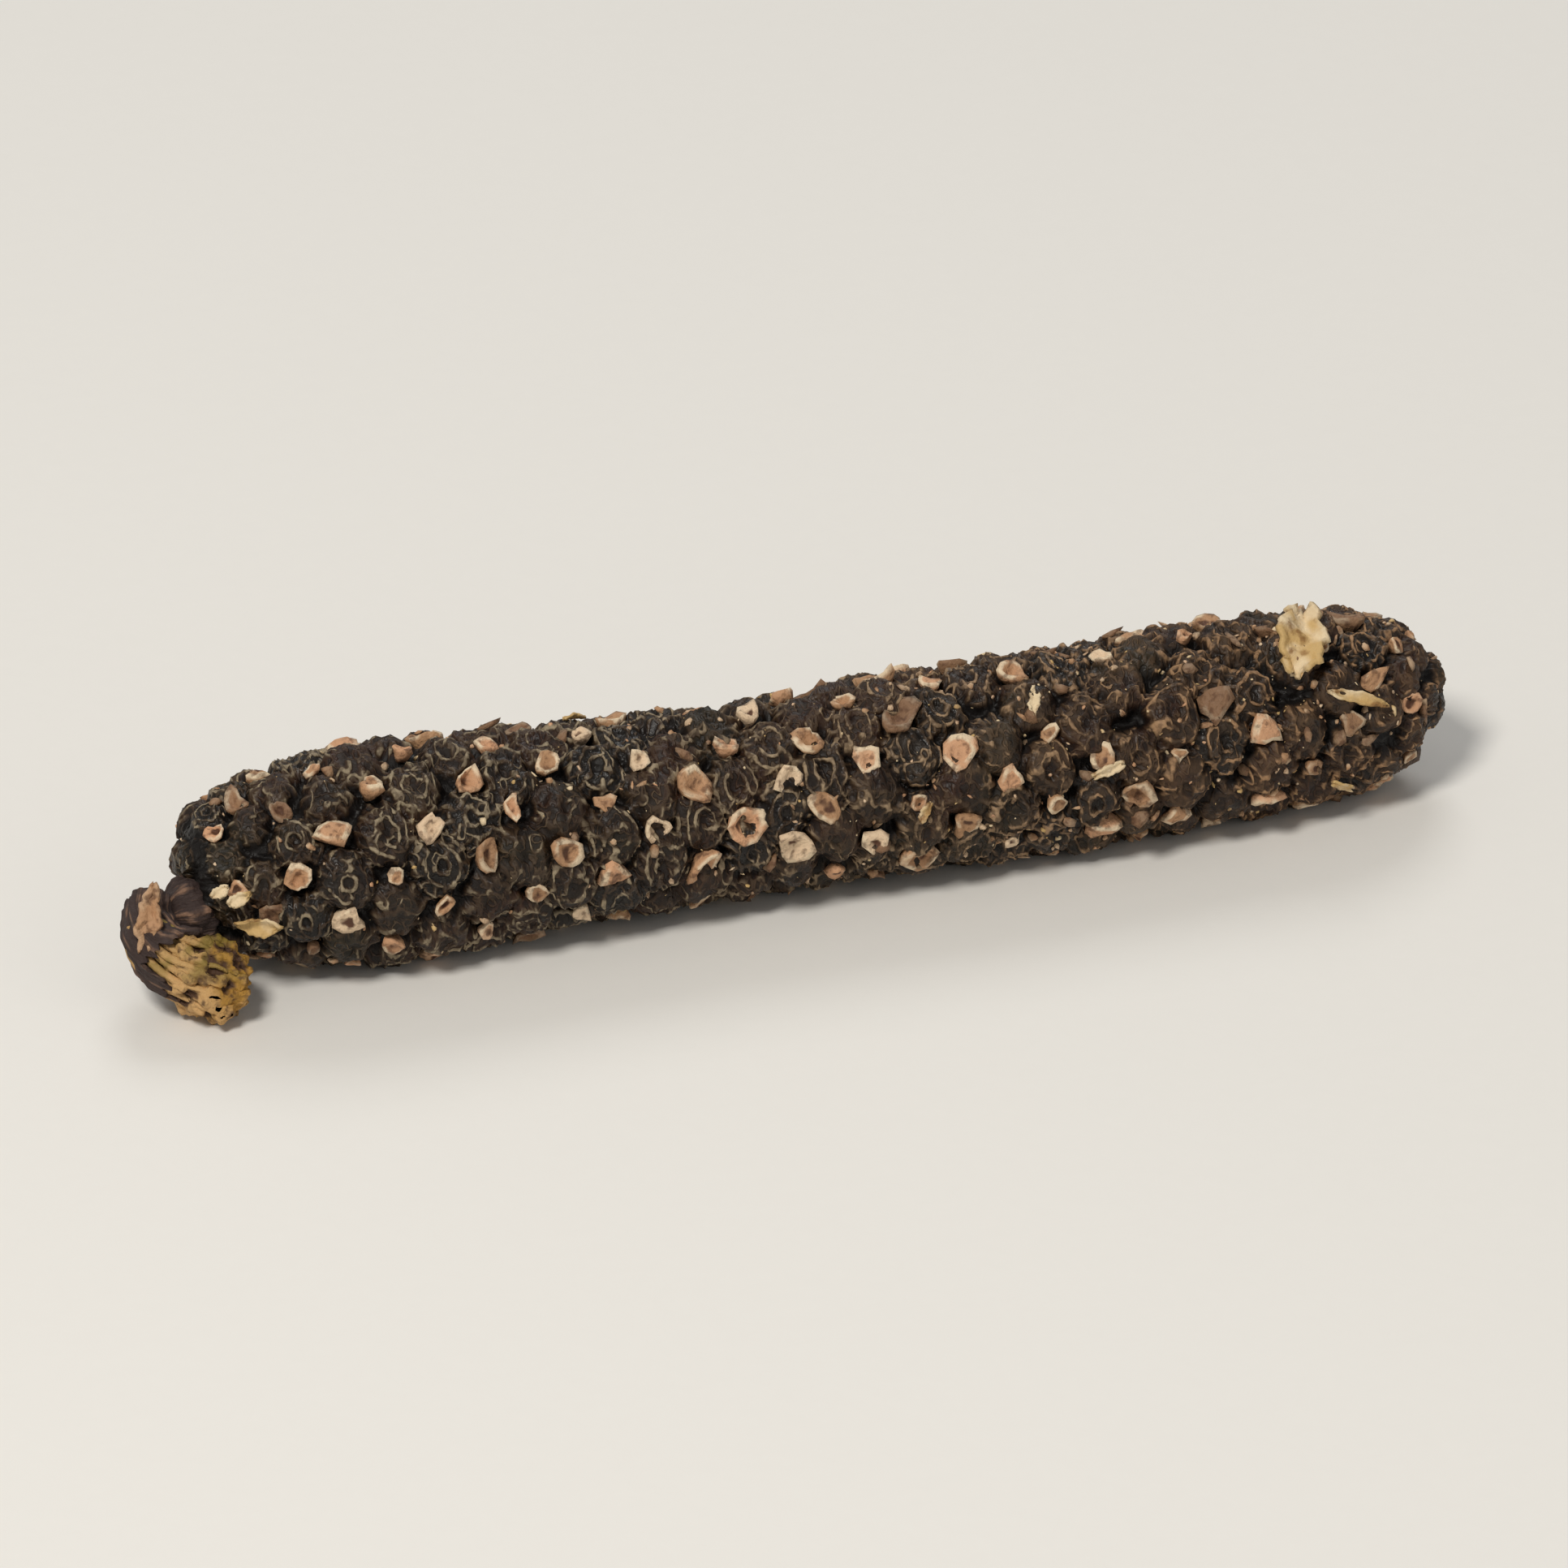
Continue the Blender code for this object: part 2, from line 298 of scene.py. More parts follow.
class StageSettings(PropertyGroup):
    """Camera and floor."""

    azimuth: angle_of("Azimuth", "Turn of the view", -18.0)
    elevation: angle_of("Elevation", "Height of the view", 30.0)
    distance: size_of("Distance", "From the camera to the pepper", 0.32)
    width: size_of("Width", "Width that the camera sees at the pepper", 0.0335)
    floor: size_of("Floor", "Radius of the paper", 0.9)
    paper: colour_of("Paper", "Colour of the floor", 0xEFEDE8)


GROUPS = {
    "pepper_skin": SkinSettings,
    "pepper_bracts": BractSettings,
    "pepper_stalk": StalkSettings,
    "pepper_chaff": ChaffSettings,
    "pepper_stage": StageSettings,
}


def smooth_step(value):
    """Eases from 0 to 1 as the value goes from 0 to 1."""
    held = np.clip(value, 0.0, 1.0)
    return held * held * (3.0 - 2.0 * held)


def scatter(index, stride):
    """Gives each index its own even draw between -0.5 and 0.5, the same on every run."""
    return np.mod(index * stride, 1.0) - 0.5


def floor_radius(x):
    """Radius of the surface that the berries rise from, at x along its own length."""
    length = SPIKE_LENGTH - 2.0 * BERRY_RISE
    share = x / length
    swell = STALK_END_SWELL * np.exp(-(((share - SWELL_AT) / SWELL_REACH) ** 2))
    waist = WAIST_DEPTH * np.exp(-(((share - WAIST_AT) / WAIST_REACH) ** 2))
    taper = TIP_TAPER * smooth_step((share - TIP_TAPER_FROM) / (1.0 - TIP_TAPER_FROM))
    side = SPIKE_RADIUS - BERRY_RISE + swell - waist - taper
    to_start = np.clip(1.0 - x / STALK_END_ROUNDING, 0.0, 1.0)
    to_tip = np.clip(1.0 - (length - x) / TIP_ROUNDING, 0.0, 1.0)
    start_round = np.sqrt(1.0 - (1.0 - STALK_END_FACE**2) * to_start**2)
    tip_round = (1.0 - to_tip**TIP_BLUNTNESS) ** (1.0 / TIP_BLUNTNESS)
    return side * start_round * tip_round


def lay_down(points):
    """Bends the straight spike and sets it at its height."""
    x = points[..., 0] - 0.5 * (SPIKE_LENGTH - 2.0 * BERRY_RISE)
    y = points[..., 1] + SIDE_BEND_CENTRE_Y + 0.5 * x * x / SIDE_BEND_RADIUS
    z = points[..., 2] + HEIGHT_AT_MIDDLE + HEIGHT_SLOPE * x
    return np.stack([x + SPIKE_CENTRE_X, y, z], axis=-1)


class Meridian:
    """Outline of the berries' floor, read by its run from the stalk end."""

    def __init__(self):
        length = SPIKE_LENGTH - 2.0 * BERRY_RISE
        turn = np.linspace(0.0, math.pi, MERIDIAN_SAMPLES)
        side_x = 0.5 * length * (1.0 - np.cos(turn))
        self.x = np.concatenate([[0.0], side_x])
        self.radius = np.concatenate([[0.0], floor_radius(side_x)])
        steps = np.hypot(np.diff(self.x), np.diff(self.radius))
        self.run = np.concatenate([[0.0], np.cumsum(steps)])
        self.length = self.run[-1]

    def at(self, run):
        """Place along the axis and radius at a run."""
        return np.interp(run, self.run, self.x), np.interp(run, self.run, self.radius)

    def point(self, run, angle):
        """Points on the floor, as the spike lies."""
        x, radius = self.at(run)
        return lay_down(np.stack([x, radius * np.cos(angle), radius * np.sin(angle)], axis=-1))

    def directions(self, run, angle):
        """Outward directions, and those along the outline towards the tip."""
        x_before, radius_before = self.at(np.clip(run - NORMAL_REACH, 0.0, self.length))
        x_after, radius_after = self.at(np.clip(run + NORMAL_REACH, 0.0, self.length))
        slope = np.arctan2(radius_after - radius_before, x_after - x_before)
        out, inward = np.cos(slope), np.sin(slope)
        outward = np.stack([-inward, out * np.cos(angle), out * np.sin(angle)], axis=-1)
        along = np.stack([out, inward * np.cos(angle), inward * np.sin(angle)], axis=-1)
        return outward, along


def lattice_run(index, meridian):
    """Run of a lattice place and its size, both drawn in towards the spike's two ends."""
    half = 0.5 * (BERRY_COUNT - 1)
    span = meridian.length - FIRST_BERRY_RUN - LAST_BERRY_RUN
    step = 0.5 * span / (half - 0.5 * END_SHRINK * END_BERRIES)
    offset = index - half
    inside = np.clip(np.abs(offset) - (half - END_BERRIES), 0.0, None)
    shrink = 0.5 * END_SHRINK * inside**2 / END_BERRIES
    run = FIRST_BERRY_RUN + 0.5 * span + np.sign(offset) * step * (np.abs(offset) - shrink)
    return run, 1.0 - END_SHRINK * inside / END_BERRIES


def berry_places(meridian):
    """Run, angle and size of each berry: the lattice's, then those that close the two ends."""
    index = np.arange(BERRY_COUNT)
    run, size = lattice_run(index, meridian)
    run = run + PLACE_SPREAD * size * scatter(index, RUN_STRIDE)
    around = PLACE_SPREAD * size * scatter(index, ROUND_STRIDE)
    angle = BERRY_PHASE + index * BERRY_TURN + around / meridian.at(run)[1]
    size = size * (1.0 + SIZE_SPREAD * scatter(index, SIZE_STRIDE))
    tip = (TIP_BERRIES, meridian.length - TIP_BERRY_RUN, 0.0, TURN / TIP_BERRIES, TIP_BERRY_SIZE)
    face = (FACE_BERRIES, FACE_BERRY_RUN, FACE_BERRY_ANGLE, FACE_BERRY_TURN, FACE_BERRY_SIZE)
    for count, end_run, first, turn, end_size in (tip, face):
        run = np.append(run, np.full(count, end_run))
        angle = np.append(angle, first + turn * np.arange(count))
        size = np.append(size, np.full(count, end_size))
    return run, angle, size


def gap_places(meridian):
    """Run, angle and size of each gap among four berries, out to the last at both ends."""
    before = int(BERRIES_TO_GAP) - 2
    index = np.arange(-before, BERRY_COUNT - 2 * int(BERRIES_TO_GAP) + before)
    run, size = lattice_run(index + BERRIES_TO_GAP, meridian)
    return run, BERRY_PHASE + index * BERRY_TURN, size


def stalk_frame(reach):
    """Middle line of the stub, its direction and two directions across it."""
    root = lay_down(np.array([-STALK_GAP, STALK_ROOT_SIDE, STALK_ROOT_DROP]))
    start = np.array(STALK_ROOT_DIRECTION) / np.linalg.norm(STALK_ROOT_DIRECTION)
    end = np.array(STALK_END_DIRECTION) / np.linalg.norm(STALK_END_DIRECTION)
    along = reach[:, None]
    tangent = start + along * (end - start)
    tangent /= np.linalg.norm(tangent, axis=1)[:, None]
    side = np.cross(tangent, [0.0, 0.0, 1.0])
    side /= np.linalg.norm(side, axis=1)[:, None]
    up = np.cross(tangent, side)
    middle = root + STALK_LENGTH * along * (start + 0.5 * along * (end - start))
    return middle, tangent, side, up


def stalk_radius(reach):
    """Radius of the stub along its path."""
    return STALK_ROOT_RADIUS + (STALK_END_RADIUS - STALK_ROOT_RADIUS) * reach


def add_node(tree, kind, *inputs, out=0, **named):
    """Adds a node with its inputs and settings, and returns one of its outputs.

    Inputs go in order, or by their names, which have a capital. Names in small letters are the
    node's settings. An input is another node's output, a plain value, or a kind with its own
    inputs, which is added first. A sum or product of more than two values takes as many nodes as
    it needs, and a colour gets full alpha.
    """
    if kind in (PLUS, TIMES) and len(inputs) > 2:
        inputs = ((kind, *inputs[:-1]), inputs[-1])
    name, fixed = kind if isinstance(kind, tuple) else (kind, {})
    node = tree.nodes.new(name)
    for label, value in {**fixed, **named}.items():
        if label.islower():
            setattr(node, label, value)
    ready = [socket for socket in node.inputs if socket.enabled]
    sockets = {socket.name: socket for socket in reversed(ready)}
    by_name = [(sockets[label], value) for label, value in named.items() if not label.islower()]
    for socket, value in (*zip(ready, inputs), *by_name):
        if isinstance(value, tuple) and isinstance(value[0], (str, tuple)):
            value = add_node(tree, *value)
        if isinstance(value, bpy.types.NodeSocket):
            tree.links.new(value, socket)
        else:
            socket.default_value = (*value, 1.0) if socket.type == "RGBA" else value
    outputs = [socket for socket in node.outputs if socket.enabled]
    return outputs[out] if isinstance(out, int) else {socket.name: socket for socket in outputs}[out]


def wrinkle_crest(add, place, radial, draw, rings):
    """Crests of the wrinkles, alike in a geometry tree and in a material.

    Drying rings run round the top of each berry, and worm-like lines cross them and the gaps. Each
    noise has one over its size in millimetres.
    """
    drift = add(NOISE, place, 1.0 / 0.60, 2.0)
    wobble = add(NOISE, place, 1.0 / 0.24, 2.0)
    turns = add(PLUS, (TIMES, radial, rings), (TIMES, drift, 2.0), (TIMES, wobble, 0.7), draw)
    breaks = add(NOISE, place, 1.0 / 0.36, 2.0)
    ringed = add(EASE, draw, 0.25, 0.45, 0.40, 1.0)
    ring = add(EASE, (COSINE, (TIMES, turns, TURN)), -0.1, 0.95)
    ring = add(TIMES, ring, (EASE, breaks, 0.38, 0.52), ringed)
    field = add(NOISE, place, 1.0 / 0.46, 1.5)
    worms = add(PLUS, (TIMES, field, 5.0), (TIMES, wobble, 0.5))
    worms = add(EASE, (COSINE, (TIMES, worms, TURN)), 0.1, 1.0)
    worms = add(TIMES, worms, (EASE, breaks, 0.60, 0.42, 0.15, 0.95))
    return add(TIMES, (LARGER, ring, worms), (EASE, radial, 0.08, 0.22))


def new_geometry_tree(name, numbers, others=None):
    """Makes a Geometry Nodes tree, and gives how to add to it, its inputs and a point's place."""
    tree = bpy.data.node_groups.new(name, "GeometryNodeTree")
    inputs = {"Geometry": "Geometry", **dict.fromkeys(numbers, "Float"), **(others or {})}
    inputs.update({"Lowest corner": "Vector", "Highest corner": "Vector", "Finish": "Material"})
    for label, kind in inputs.items():
        tree.interface.new_socket(label, in_out="INPUT", socket_type="NodeSocket" + kind)
    tree.interface.new_socket("Geometry", in_out="OUTPUT", socket_type="NodeSocketGeometry")
    given = {socket.name: socket for socket in tree.nodes.new("NodeGroupInput").outputs}
    add = partial(add_node, tree)
    return tree, add, given, add(POSITION)


def end_tree(tree, add, shape, place, given):
    """Ends a tree: points held inside the box, real geometry, smooth faces and the material."""
    held = add(LOWER, (HIGHER, place, given["Lowest corner"]), given["Highest corner"])
    shape = add("GeometryNodeSetPosition", Geometry=shape, Position=held)
    shape = add("GeometryNodeSetShadeSmooth", (REALIZE, shape))
    shape = add("GeometryNodeSetMaterial", Geometry=shape, Material=given["Finish"])
    tree.links.new(shape, tree.nodes.new("NodeGroupOutput").inputs["Geometry"])
    return tree


def add_object(name, data):
    """Links a mesh, a curve, a light or a camera to the scene as an object."""
    thing = bpy.data.objects.new(name, data)
    bpy.context.scene.collection.objects.link(thing)
    return thing


def make_piece(name, mesh, tree, values, material, slot, *nodes, box=CAD_BOX, wall=0.0):
    """Runs a tree on a mesh and puts the result, a plain mesh, on the pepper's body."""
    piece = add_object(name, mesh)
    values = {**values, "Lowest corner": box[0], "Highest corner": box[1], "Finish": material}
    modifier = piece.modifiers.new(name, "NODES")
    modifier.node_group = tree
    for item in tree.interface.items_tree:
        if item.in_out == "INPUT" and item.name in values:
            modifier[item.identifier] = values[item.name]
    depsgraph = bpy.context.evaluated_depsgraph_get()
    shaped = piece.evaluated_get(depsgraph)
    shaped = bpy.data.meshes.new_from_object(shaped, preserve_all_data_layers=True, depsgraph=depsgraph)
    piece.modifiers.remove(modifier)
    piece.data = shaped
    bpy.data.meshes.remove(mesh)
    shaped.name = name
    if wall:
        solid = piece.modifiers.new("wall", "SOLIDIFY")
        solid.thickness = wall
        solid.offset = 0.0
    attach(piece, BODY)
    if nodes:
        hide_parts(*nodes)


def values_of(settings):
    """Values of a group's settings, under the names that the trees' inputs share with them."""
    return {item.name: getattr(settings, item.identifier) for item in settings.bl_rna.properties}


def mark(mesh, marks):
    """Gives the points of a mesh numbers and vectors, for a tree or a material to read."""
    for label, values in marks.items():
        values = np.asarray(values, np.float32)
        kind, field = ("FLOAT", "value") if values.ndim == 1 else ("FLOAT_VECTOR", "vector")
        mesh.attributes.new(label, kind, "POINT").data.foreach_set(field, values.ravel())


def points_mesh(name, points, marks):
    """Makes a mesh of loose points with marks."""
    mesh = bpy.data.meshes.new(name)
    mesh.from_pydata([tuple(point) for point in points], [], [])
    mark(mesh, marks)
    return mesh


def mesh_from(name, body):
    """Turns a finished bmesh into a mesh."""
    mesh = bpy.data.meshes.new(name)
    body.to_mesh(mesh)
    body.free()
    return mesh


def sphere_mesh(name, columns, rows, place, rules=None):
    """Makes a closed mesh like a globe's, each point placed and marked by rules.

    A rule takes the share of the way from pole to pole and the angle round it.
    """
    share = np.concatenate([[0.0], np.repeat(np.arange(1, rows) / rows, columns), [1.0]])
    turns = 0.5 * math.pi + TURN * np.arange(columns) / columns
    angle = np.concatenate([[0.0], np.tile(turns, rows - 1), [0.0]])
    rings = 1 + np.arange(columns * (rows - 1)).reshape(rows - 1, columns)
    after = np.roll(rings, -1, axis=1)
    faces = np.stack([rings[:-1], after[:-1], after[1:], rings[1:]], axis=-1).reshape(-1, 4).tolist()
    last = len(share) - 1
    for column in range(columns):
        faces.append((0, after[0, column], rings[0, column]))
        faces.append((rings[-1, column], after[-1, column], last))
    mesh = bpy.data.meshes.new(name)
    mesh.from_pydata(place(share, angle).tolist(), [], faces)
    mark(mesh, {label: rule(share, angle) for label, rule in (rules or {}).items()})
    return mesh


def shape_collection(name, shapes):
    """Holds shapes for a tree to pick from, away from the scene."""
    collection = bpy.data.collections.new(name)
    for shape in shapes:
        collection.objects.link(shape)
    return collection


def new_material(name):
    """Makes an empty material, how to add to it, and the place on the piece in millimetres."""
    material = bpy.data.materials.new(name)
    material.use_nodes = True
    material.node_tree.nodes.clear()
    add = partial(add_node, material.node_tree)
    return material, add, add(STRETCH, add("ShaderNodeTexCoord", out="Object"), 1.0 / MM)


def read_marks(add, *labels):
    """Reads the numbers that a piece's points carry."""
    return [add(ATTRIBUTE, out="Fac", attribute_name=label) for label in labels]


def end_material(material, add, colour, roughness, heights, gloss=0.5):
    """Ends a material: colour, roughness, and a bump of parts with their heights in millimetres."""
    height = add(PLUS, 0.0, *[(TIMES, part, most) for part, most in heights])
    bump = add("ShaderNodeBump", Distance=MM, Height=height)
    inputs = {"Base Color": colour, "Specular IOR Level": gloss}
    surface = add("ShaderNodeBsdfPrincipled", **inputs, Roughness=roughness, Normal=bump)
    output = material.node_tree.nodes.new("ShaderNodeOutputMaterial")
    material.node_tree.links.new(surface, output.inputs["Surface"])
    return material


def dried_pericarp(skin):
    """Dried pericarp: fruit skin that shrank as it dried in the sun.

    It gives the eye a very dark brown in rings and worm-like wrinkles, with grey tan crests that are
    dusting with painted highlight, a faint waxy sheen on the smoother tops and painted shade in the
    grooves and the gaps.
    """
    material, add, place = new_material("dried pericarp")
    floor = add(STRETCH, add(ATTRIBUTE, out="Vector", attribute_name="floor"), 1.0 / MM)
    radial, draw, relief, fold = read_marks(add, "radial", "draw", "relief", "fold")
    to_tip = add(EASE, add(SEPARATE, place, out="X"), -6.0, 11.0)

    patches = add(NOISE, place, 1.0 / 1.7, 3.0)
    green = add(NOISE, place, 1.0 / 2.4, 2.0)
    wear = add(NOISE, place, 1.0 / 0.45, 3.0)
    grain = add(NOISE, place, 1.0 / 0.05, 3.0)
    smooth = add(EASE, draw, 0.60, 0.90)
    crest = wrinkle_crest(add, floor, radial, draw, skin.rings)
    field = add(NOISE, floor, 1.0 / 0.55, 3.0)
    lines = add(PLUS, (TIMES, field, 8.0), (TIMES, radial, 1.3))
    lines = add(EASE, (COSINE, (TIMES, lines, TURN)), 0.0, 1.0)

    patchy = add(EASE, wear, 0.36, 0.58)
    worn = add(EASE, wear, 0.34, 0.60, 0.20, 0.60)
    fine = add(TIMES, lines, worn, (EASE, smooth, 0.0, 1.0, 1.0, 0.4))
    ridge = add(LARGER, (TIMES, crest, (EASE, patchy, 0.0, 1.0, 0.60, 1.0)), fine)
    ridge = add(LARGER, ridge, (TIMES, fold, 0.85))
    ridge = add(TIMES, ridge, (EASE, relief, -0.05, 0.42))

    colour = add(BLEND, (EASE, patches, 0.42, 0.62), skin.brown, skin.red_brown)
    colour = add(BLEND, (EASE, green, 0.50, 0.66, 0.0, 0.8), colour, skin.olive)
    colour = add(BLEND, smooth, colour, skin.slate)
    # Painted shade: very dark where no wrinkle crest stands, in the grooves, and in the low gaps among the
    # berries
    colour = add(BLEND, (EASE, ridge, 0.22, 0.0, 0.0, 0.65), colour, skin.black)
    colour = add(BLEND, (EASE, relief, 0.45, 0.0), colour, skin.black)
    # Dusting with painted highlight: the flanks of the wrinkles turn paler and their crests palest, warmer
    # towards the tip
    colour = add(BLEND, (EASE, ridge, 0.12, 0.60, 0.0, 0.75), colour, skin.worn)
    dust = add(BLEND, to_tip, skin.crest, skin.dust)
    faded = add(EASE, (NOISE, place, 1.0 / 0.16, 2.0), 0.38, 0.60, 0.45, 1.0)
    crest_dust_and_highlight = add(TIMES, (EASE, ridge, 0.50, 1.0), (EASE, patchy, 0.0, 1.0, 0.30, 0.95), faded)
    colour = add(BLEND, crest_dust_and_highlight, colour, dust)
    # Dusting with painted sheen: a faint pale veil on the raised tops of the berries, stronger towards the
    # tip
    dust_and_sheen = add(TIMES, patchy, (EASE, to_tip, 0.0, 1.0, 0.03, 0.13), (EASE, relief, 0.3, 0.8))
    colour = add(BLEND, dust_and_sheen, colour, dust)

    rough = add(PLUS, (EASE, wear, 0.35, 0.65, 0.44, 0.70), (TIMES, smooth, -0.12))
    heights = ((ridge, 0.040), (lines, 0.010), (wear, 0.04), (grain, 0.010))
    return end_material(material, add, colour, rough, heights, gloss=0.32)


def dry_bract(bracts):
    """Dry bract: a corky little shield, pale at its raised rim, partly as painted highlight, and brown in
    its sunken middle.
    """
    material, add, place = new_material("dry bract")
    rim, tone = read_marks(add, "rim", "tone")
    mottle = add(NOISE, place, 1.0 / 0.18, 4.0)
    blotch = add(NOISE, place, 1.0 / 0.50, 2.0)
    grain = add(NOISE, place, 1.0 / 0.05, 3.0)
    colour = add(BLEND, (EASE, tone, 0.20, 0.70), bracts.peach, bracts.tan)
    # Painted highlight: the raised rim turns pale in patches; bracts of low tone turn pale all over
    worn = add(TIMES, (EASE, rim, 0.60, 1.0), (EASE, blotch, 0.42, 0.60))
    worn = add(LARGER, worn, (EASE, tone, 0.20, 0.12, 0.0, 0.75))
    colour = add(BLEND, worn, colour, bracts.pale)
    colour = add(BLEND, (EASE, tone, 0.84, 0.95, 0.0, 0.75), colour, bracts.umber)
    pit = add(TIMES, (EASE, rim, 0.45, 0.0), (EASE, blotch, 0.52, 0.40, 0.05, 1.0))
    colour = add(BLEND, pit, colour, bracts.dark)
    colour = add(BLEND, (EASE, mottle, 0.50, 0.68, 0.0, 0.65), colour, bracts.dark)
    rough = add(EASE, mottle, 0.3, 0.7, 0.60, 0.80)
    return end_material(material, add, colour, rough, ((grain, 0.02), (mottle, 0.08)))


def stalk_bark(stalk):
    """Stalk bark: thin purple-brown skin, wrinkled along the stub, with paler ridges from wear."""
    material, add, place = new_material("stalk bark")
    way = add(ATTRIBUTE, out="Vector", attribute_name="way")
    streak = add(NOISE, way, 1.0, 5.0)
    blotch = add(NOISE, place, 1.0 / 0.35, 3.0)
    grain = add(NOISE, place, 1.0 / 0.06, 3.0)
    pale = add(TIMES, (EASE, streak, 0.50, 0.66), (EASE, blotch, 0.38, 0.60, 0.15, 1.0))
    colour = add(BLEND, pale, stalk.bark, stalk.ridge)
    heights = ((streak, 0.14), (blotch, 0.08), (grain, 0.02))
    return end_material(material, add, colour, 0.76, heights)


def torn_pith(stalk):
    """Torn pith and fibre: the stalk's inside, ochre and straw where it broke, straw as painted highlight
    on the tops of its lumps, and brown as painted shade in its clefts.
    """
    material, add, place = new_material("torn pith")
    (relief,) = read_marks(add, "relief")
    along, height = (add(SEPARATE, place, out=axis) for axis in "XZ")
    mottle = add(NOISE, place, 1.0 / 0.22, 4.0)
    blotch = add(NOISE, place, 1.0 / 0.65, 2.0)
    grain = add(NOISE, place, 1.0 / 0.045, 3.0)
    rooted = add(PLUS, along, (TIMES, blotch, 1.6))
    colour = add(BLEND, (EASE, rooted, -12.2, -12.8), stalk.ochre, stalk.straw)
    # Painted highlight: straw on the raised tops of the lumps
    colour = add(BLEND, (EASE, relief, 0.56, 0.70, 0.0, 0.65), colour, stalk.straw)
    damp = add(TIMES, (EASE, height, 0.9, 1.7), (EASE, blotch, 0.58, 0.44, 0.2, 0.9))
    colour = add(BLEND, damp, colour, stalk.olive)
    # Painted shade in the low clefts between the lumps, together with random dark mottle
    cleft = add(LARGER, (EASE, relief, 0.53, 0.43), (EASE, mottle, 0.54, 0.70, 0.0, 0.8))
    colour = add(BLEND, cleft, colour, stalk.cleft)
    return end_material(material, add, colour, 0.72, ((grain, 0.02), (mottle, 0.10)))


def dry_husk(chaff):
    """Dry husk: papery crumbs and flakes of bract and skin, cream to straw with brown stains."""
    material, add, place = new_material("dry husk")
    stains = add(NOISE, place, 1.0 / 0.34, 4.0)
    blotch = add(NOISE, place, 1.0 / 0.8, 2.0)
    grain = add(NOISE, place, 1.0 / 0.06, 3.0)
    colour = add(BLEND, (EASE, blotch, 0.42, 0.58), chaff.cream, chaff.straw)
    colour = add(BLEND, (EASE, stains, 0.50, 0.68, 0.0, 0.9), colour, chaff.stain)
    return end_material(material, add, colour, 0.68, ((grain, 0.02), (stains, 0.06)))


def matte_paper(stage):
    """Matte paper: an even, pale floor with a faint tooth."""
    material, add, place = new_material("matte paper")
    tooth = add(NOISE, place, 1.0 / 0.5, 3.0)
    shade = tuple(0.985 * channel for channel in stage.paper)
    colour = add(BLEND, tooth, stage.paper, shade)
    return end_material(material, add, colour, add(EASE, tooth, 0.0, 1.0, 0.86, 0.94), ((tooth, 0.006),))


def raise_berries_tree():
    """Tree that raises shrivelled berries from the spike's surface."""
    numbers = ("Reach", "Rise", "Lift", "Rings", "Ring height", "Sunken top", "Scar", "Dent size")
    numbers += ("Dent depth", "Fold depth", "Fullness", "Grown together")
    tree, add, given, place = new_geometry_tree("Raise berries", numbers, {"Berry places": "Object"})
    places = add(INFO, given["Berry places"], out="Geometry")
    nearest = add("GeometryNodeSampleNearest", places, place, domain="POINT")
    near = {}
    for label in ("position", "outward", "along", "size", "draw"):
        read = READ if label in ("size", "draw") else READ_VECTOR
        near[label] = add("GeometryNodeSampleIndex", places, (read, label), nearest, **read[1])
    draw, size = near["draw"], near["size"]
    away = add(OFFSET, place, near["position"])
    radial = add(OVER, (LENGTH, away), (TIMES, size, given["Reach"]))
    across = add(CROSS, near["outward"], near["along"])
    turn = add(ANGLE, (DOT, away, across), (DOT, away, near["along"]))

    ground = add(STRETCH, place, 1.0 / MM)
    dent_scale = add(OVER, MM, given["Dent size"])
    dents = add(NOISE, ground, dent_scale, 2.5)
    lumps = add(NOISE, ground, (TIMES, dent_scale, 0.45), 1.0)
    warped = add(TIMES, radial, (RANGE, dents, 0.25, 0.75, 0.86, 1.14))
    left = add(MINUS, 1.0, (POWER, warped, 2.5), use_clamp=True)
    height = add(TIMES, size, given["Rise"], given["Fullness"])

    sunken = (TIMES, (EASE, warped, 0.72, 0.12), given["Sunken top"], (EASE, draw, 0.0, 1.0, 0.2, 1.0))
    scar = (TIMES, (EASE, radial, 0.20, 0.13), (EASE, radial, 0.03, 0.10), given["Scar"])
    dent = (TIMES, (EASE, dents, 0.42, 0.70), given["Dent depth"])
    lump = (TIMES, (EASE, lumps, 0.40, 0.66), given["Dent depth"])
    folds = add(PLUS, (ROUND, (TIMES, draw, 5.0)), 8.0)
    fold = add(COSINE, (PLUS, (TIMES, turn, folds), (TIMES, dents, 9.0), (TIMES, draw, 9.0)))
    fold = add(EASE, fold, 0.1, 1.0)
    fold = add(TIMES, fold, (EASE, radial, 0.28, 0.62), (EASE, lumps, 0.38, 0.56))
    furrow = (TIMES, (MINUS, 1.0, fold), given["Fold depth"], (EASE, radial, 0.30, 0.80))
    crest = wrinkle_crest(add, ground, radial, draw, given["Rings"])
    trough = (TIMES, (MINUS, 1.0, crest), given["Ring height"])
    loss = add(TIMES, (PLUS, sunken, scar, dent, lump, furrow, trough), size)
    dome = add(LARGER, (ROOT, left), given["Grown together"])
    raised = add(MINUS, (TIMES, height, dome), loss)

    shape = add(KEEP_VECTOR, Geometry=given["Geometry"], Name="floor", Value=place)
    marks = {"radial": radial, "draw": draw, "relief": (OVER, raised, height), "fold": fold}
    for label, value in marks.items():
        shape = add(KEEP, Geometry=shape, Name=label, Value=value)
    moved = add(SHIFT, (STRETCH, add(NORMAL), (PLUS, raised, given["Lift"])), place)
    return end_tree(tree, add, shape, moved, given)


# Inputs that give a tree its shapes to pick from
CHOICE = {"Shapes": "Collection", "Last shape": "Int", "Seed": "Int"}


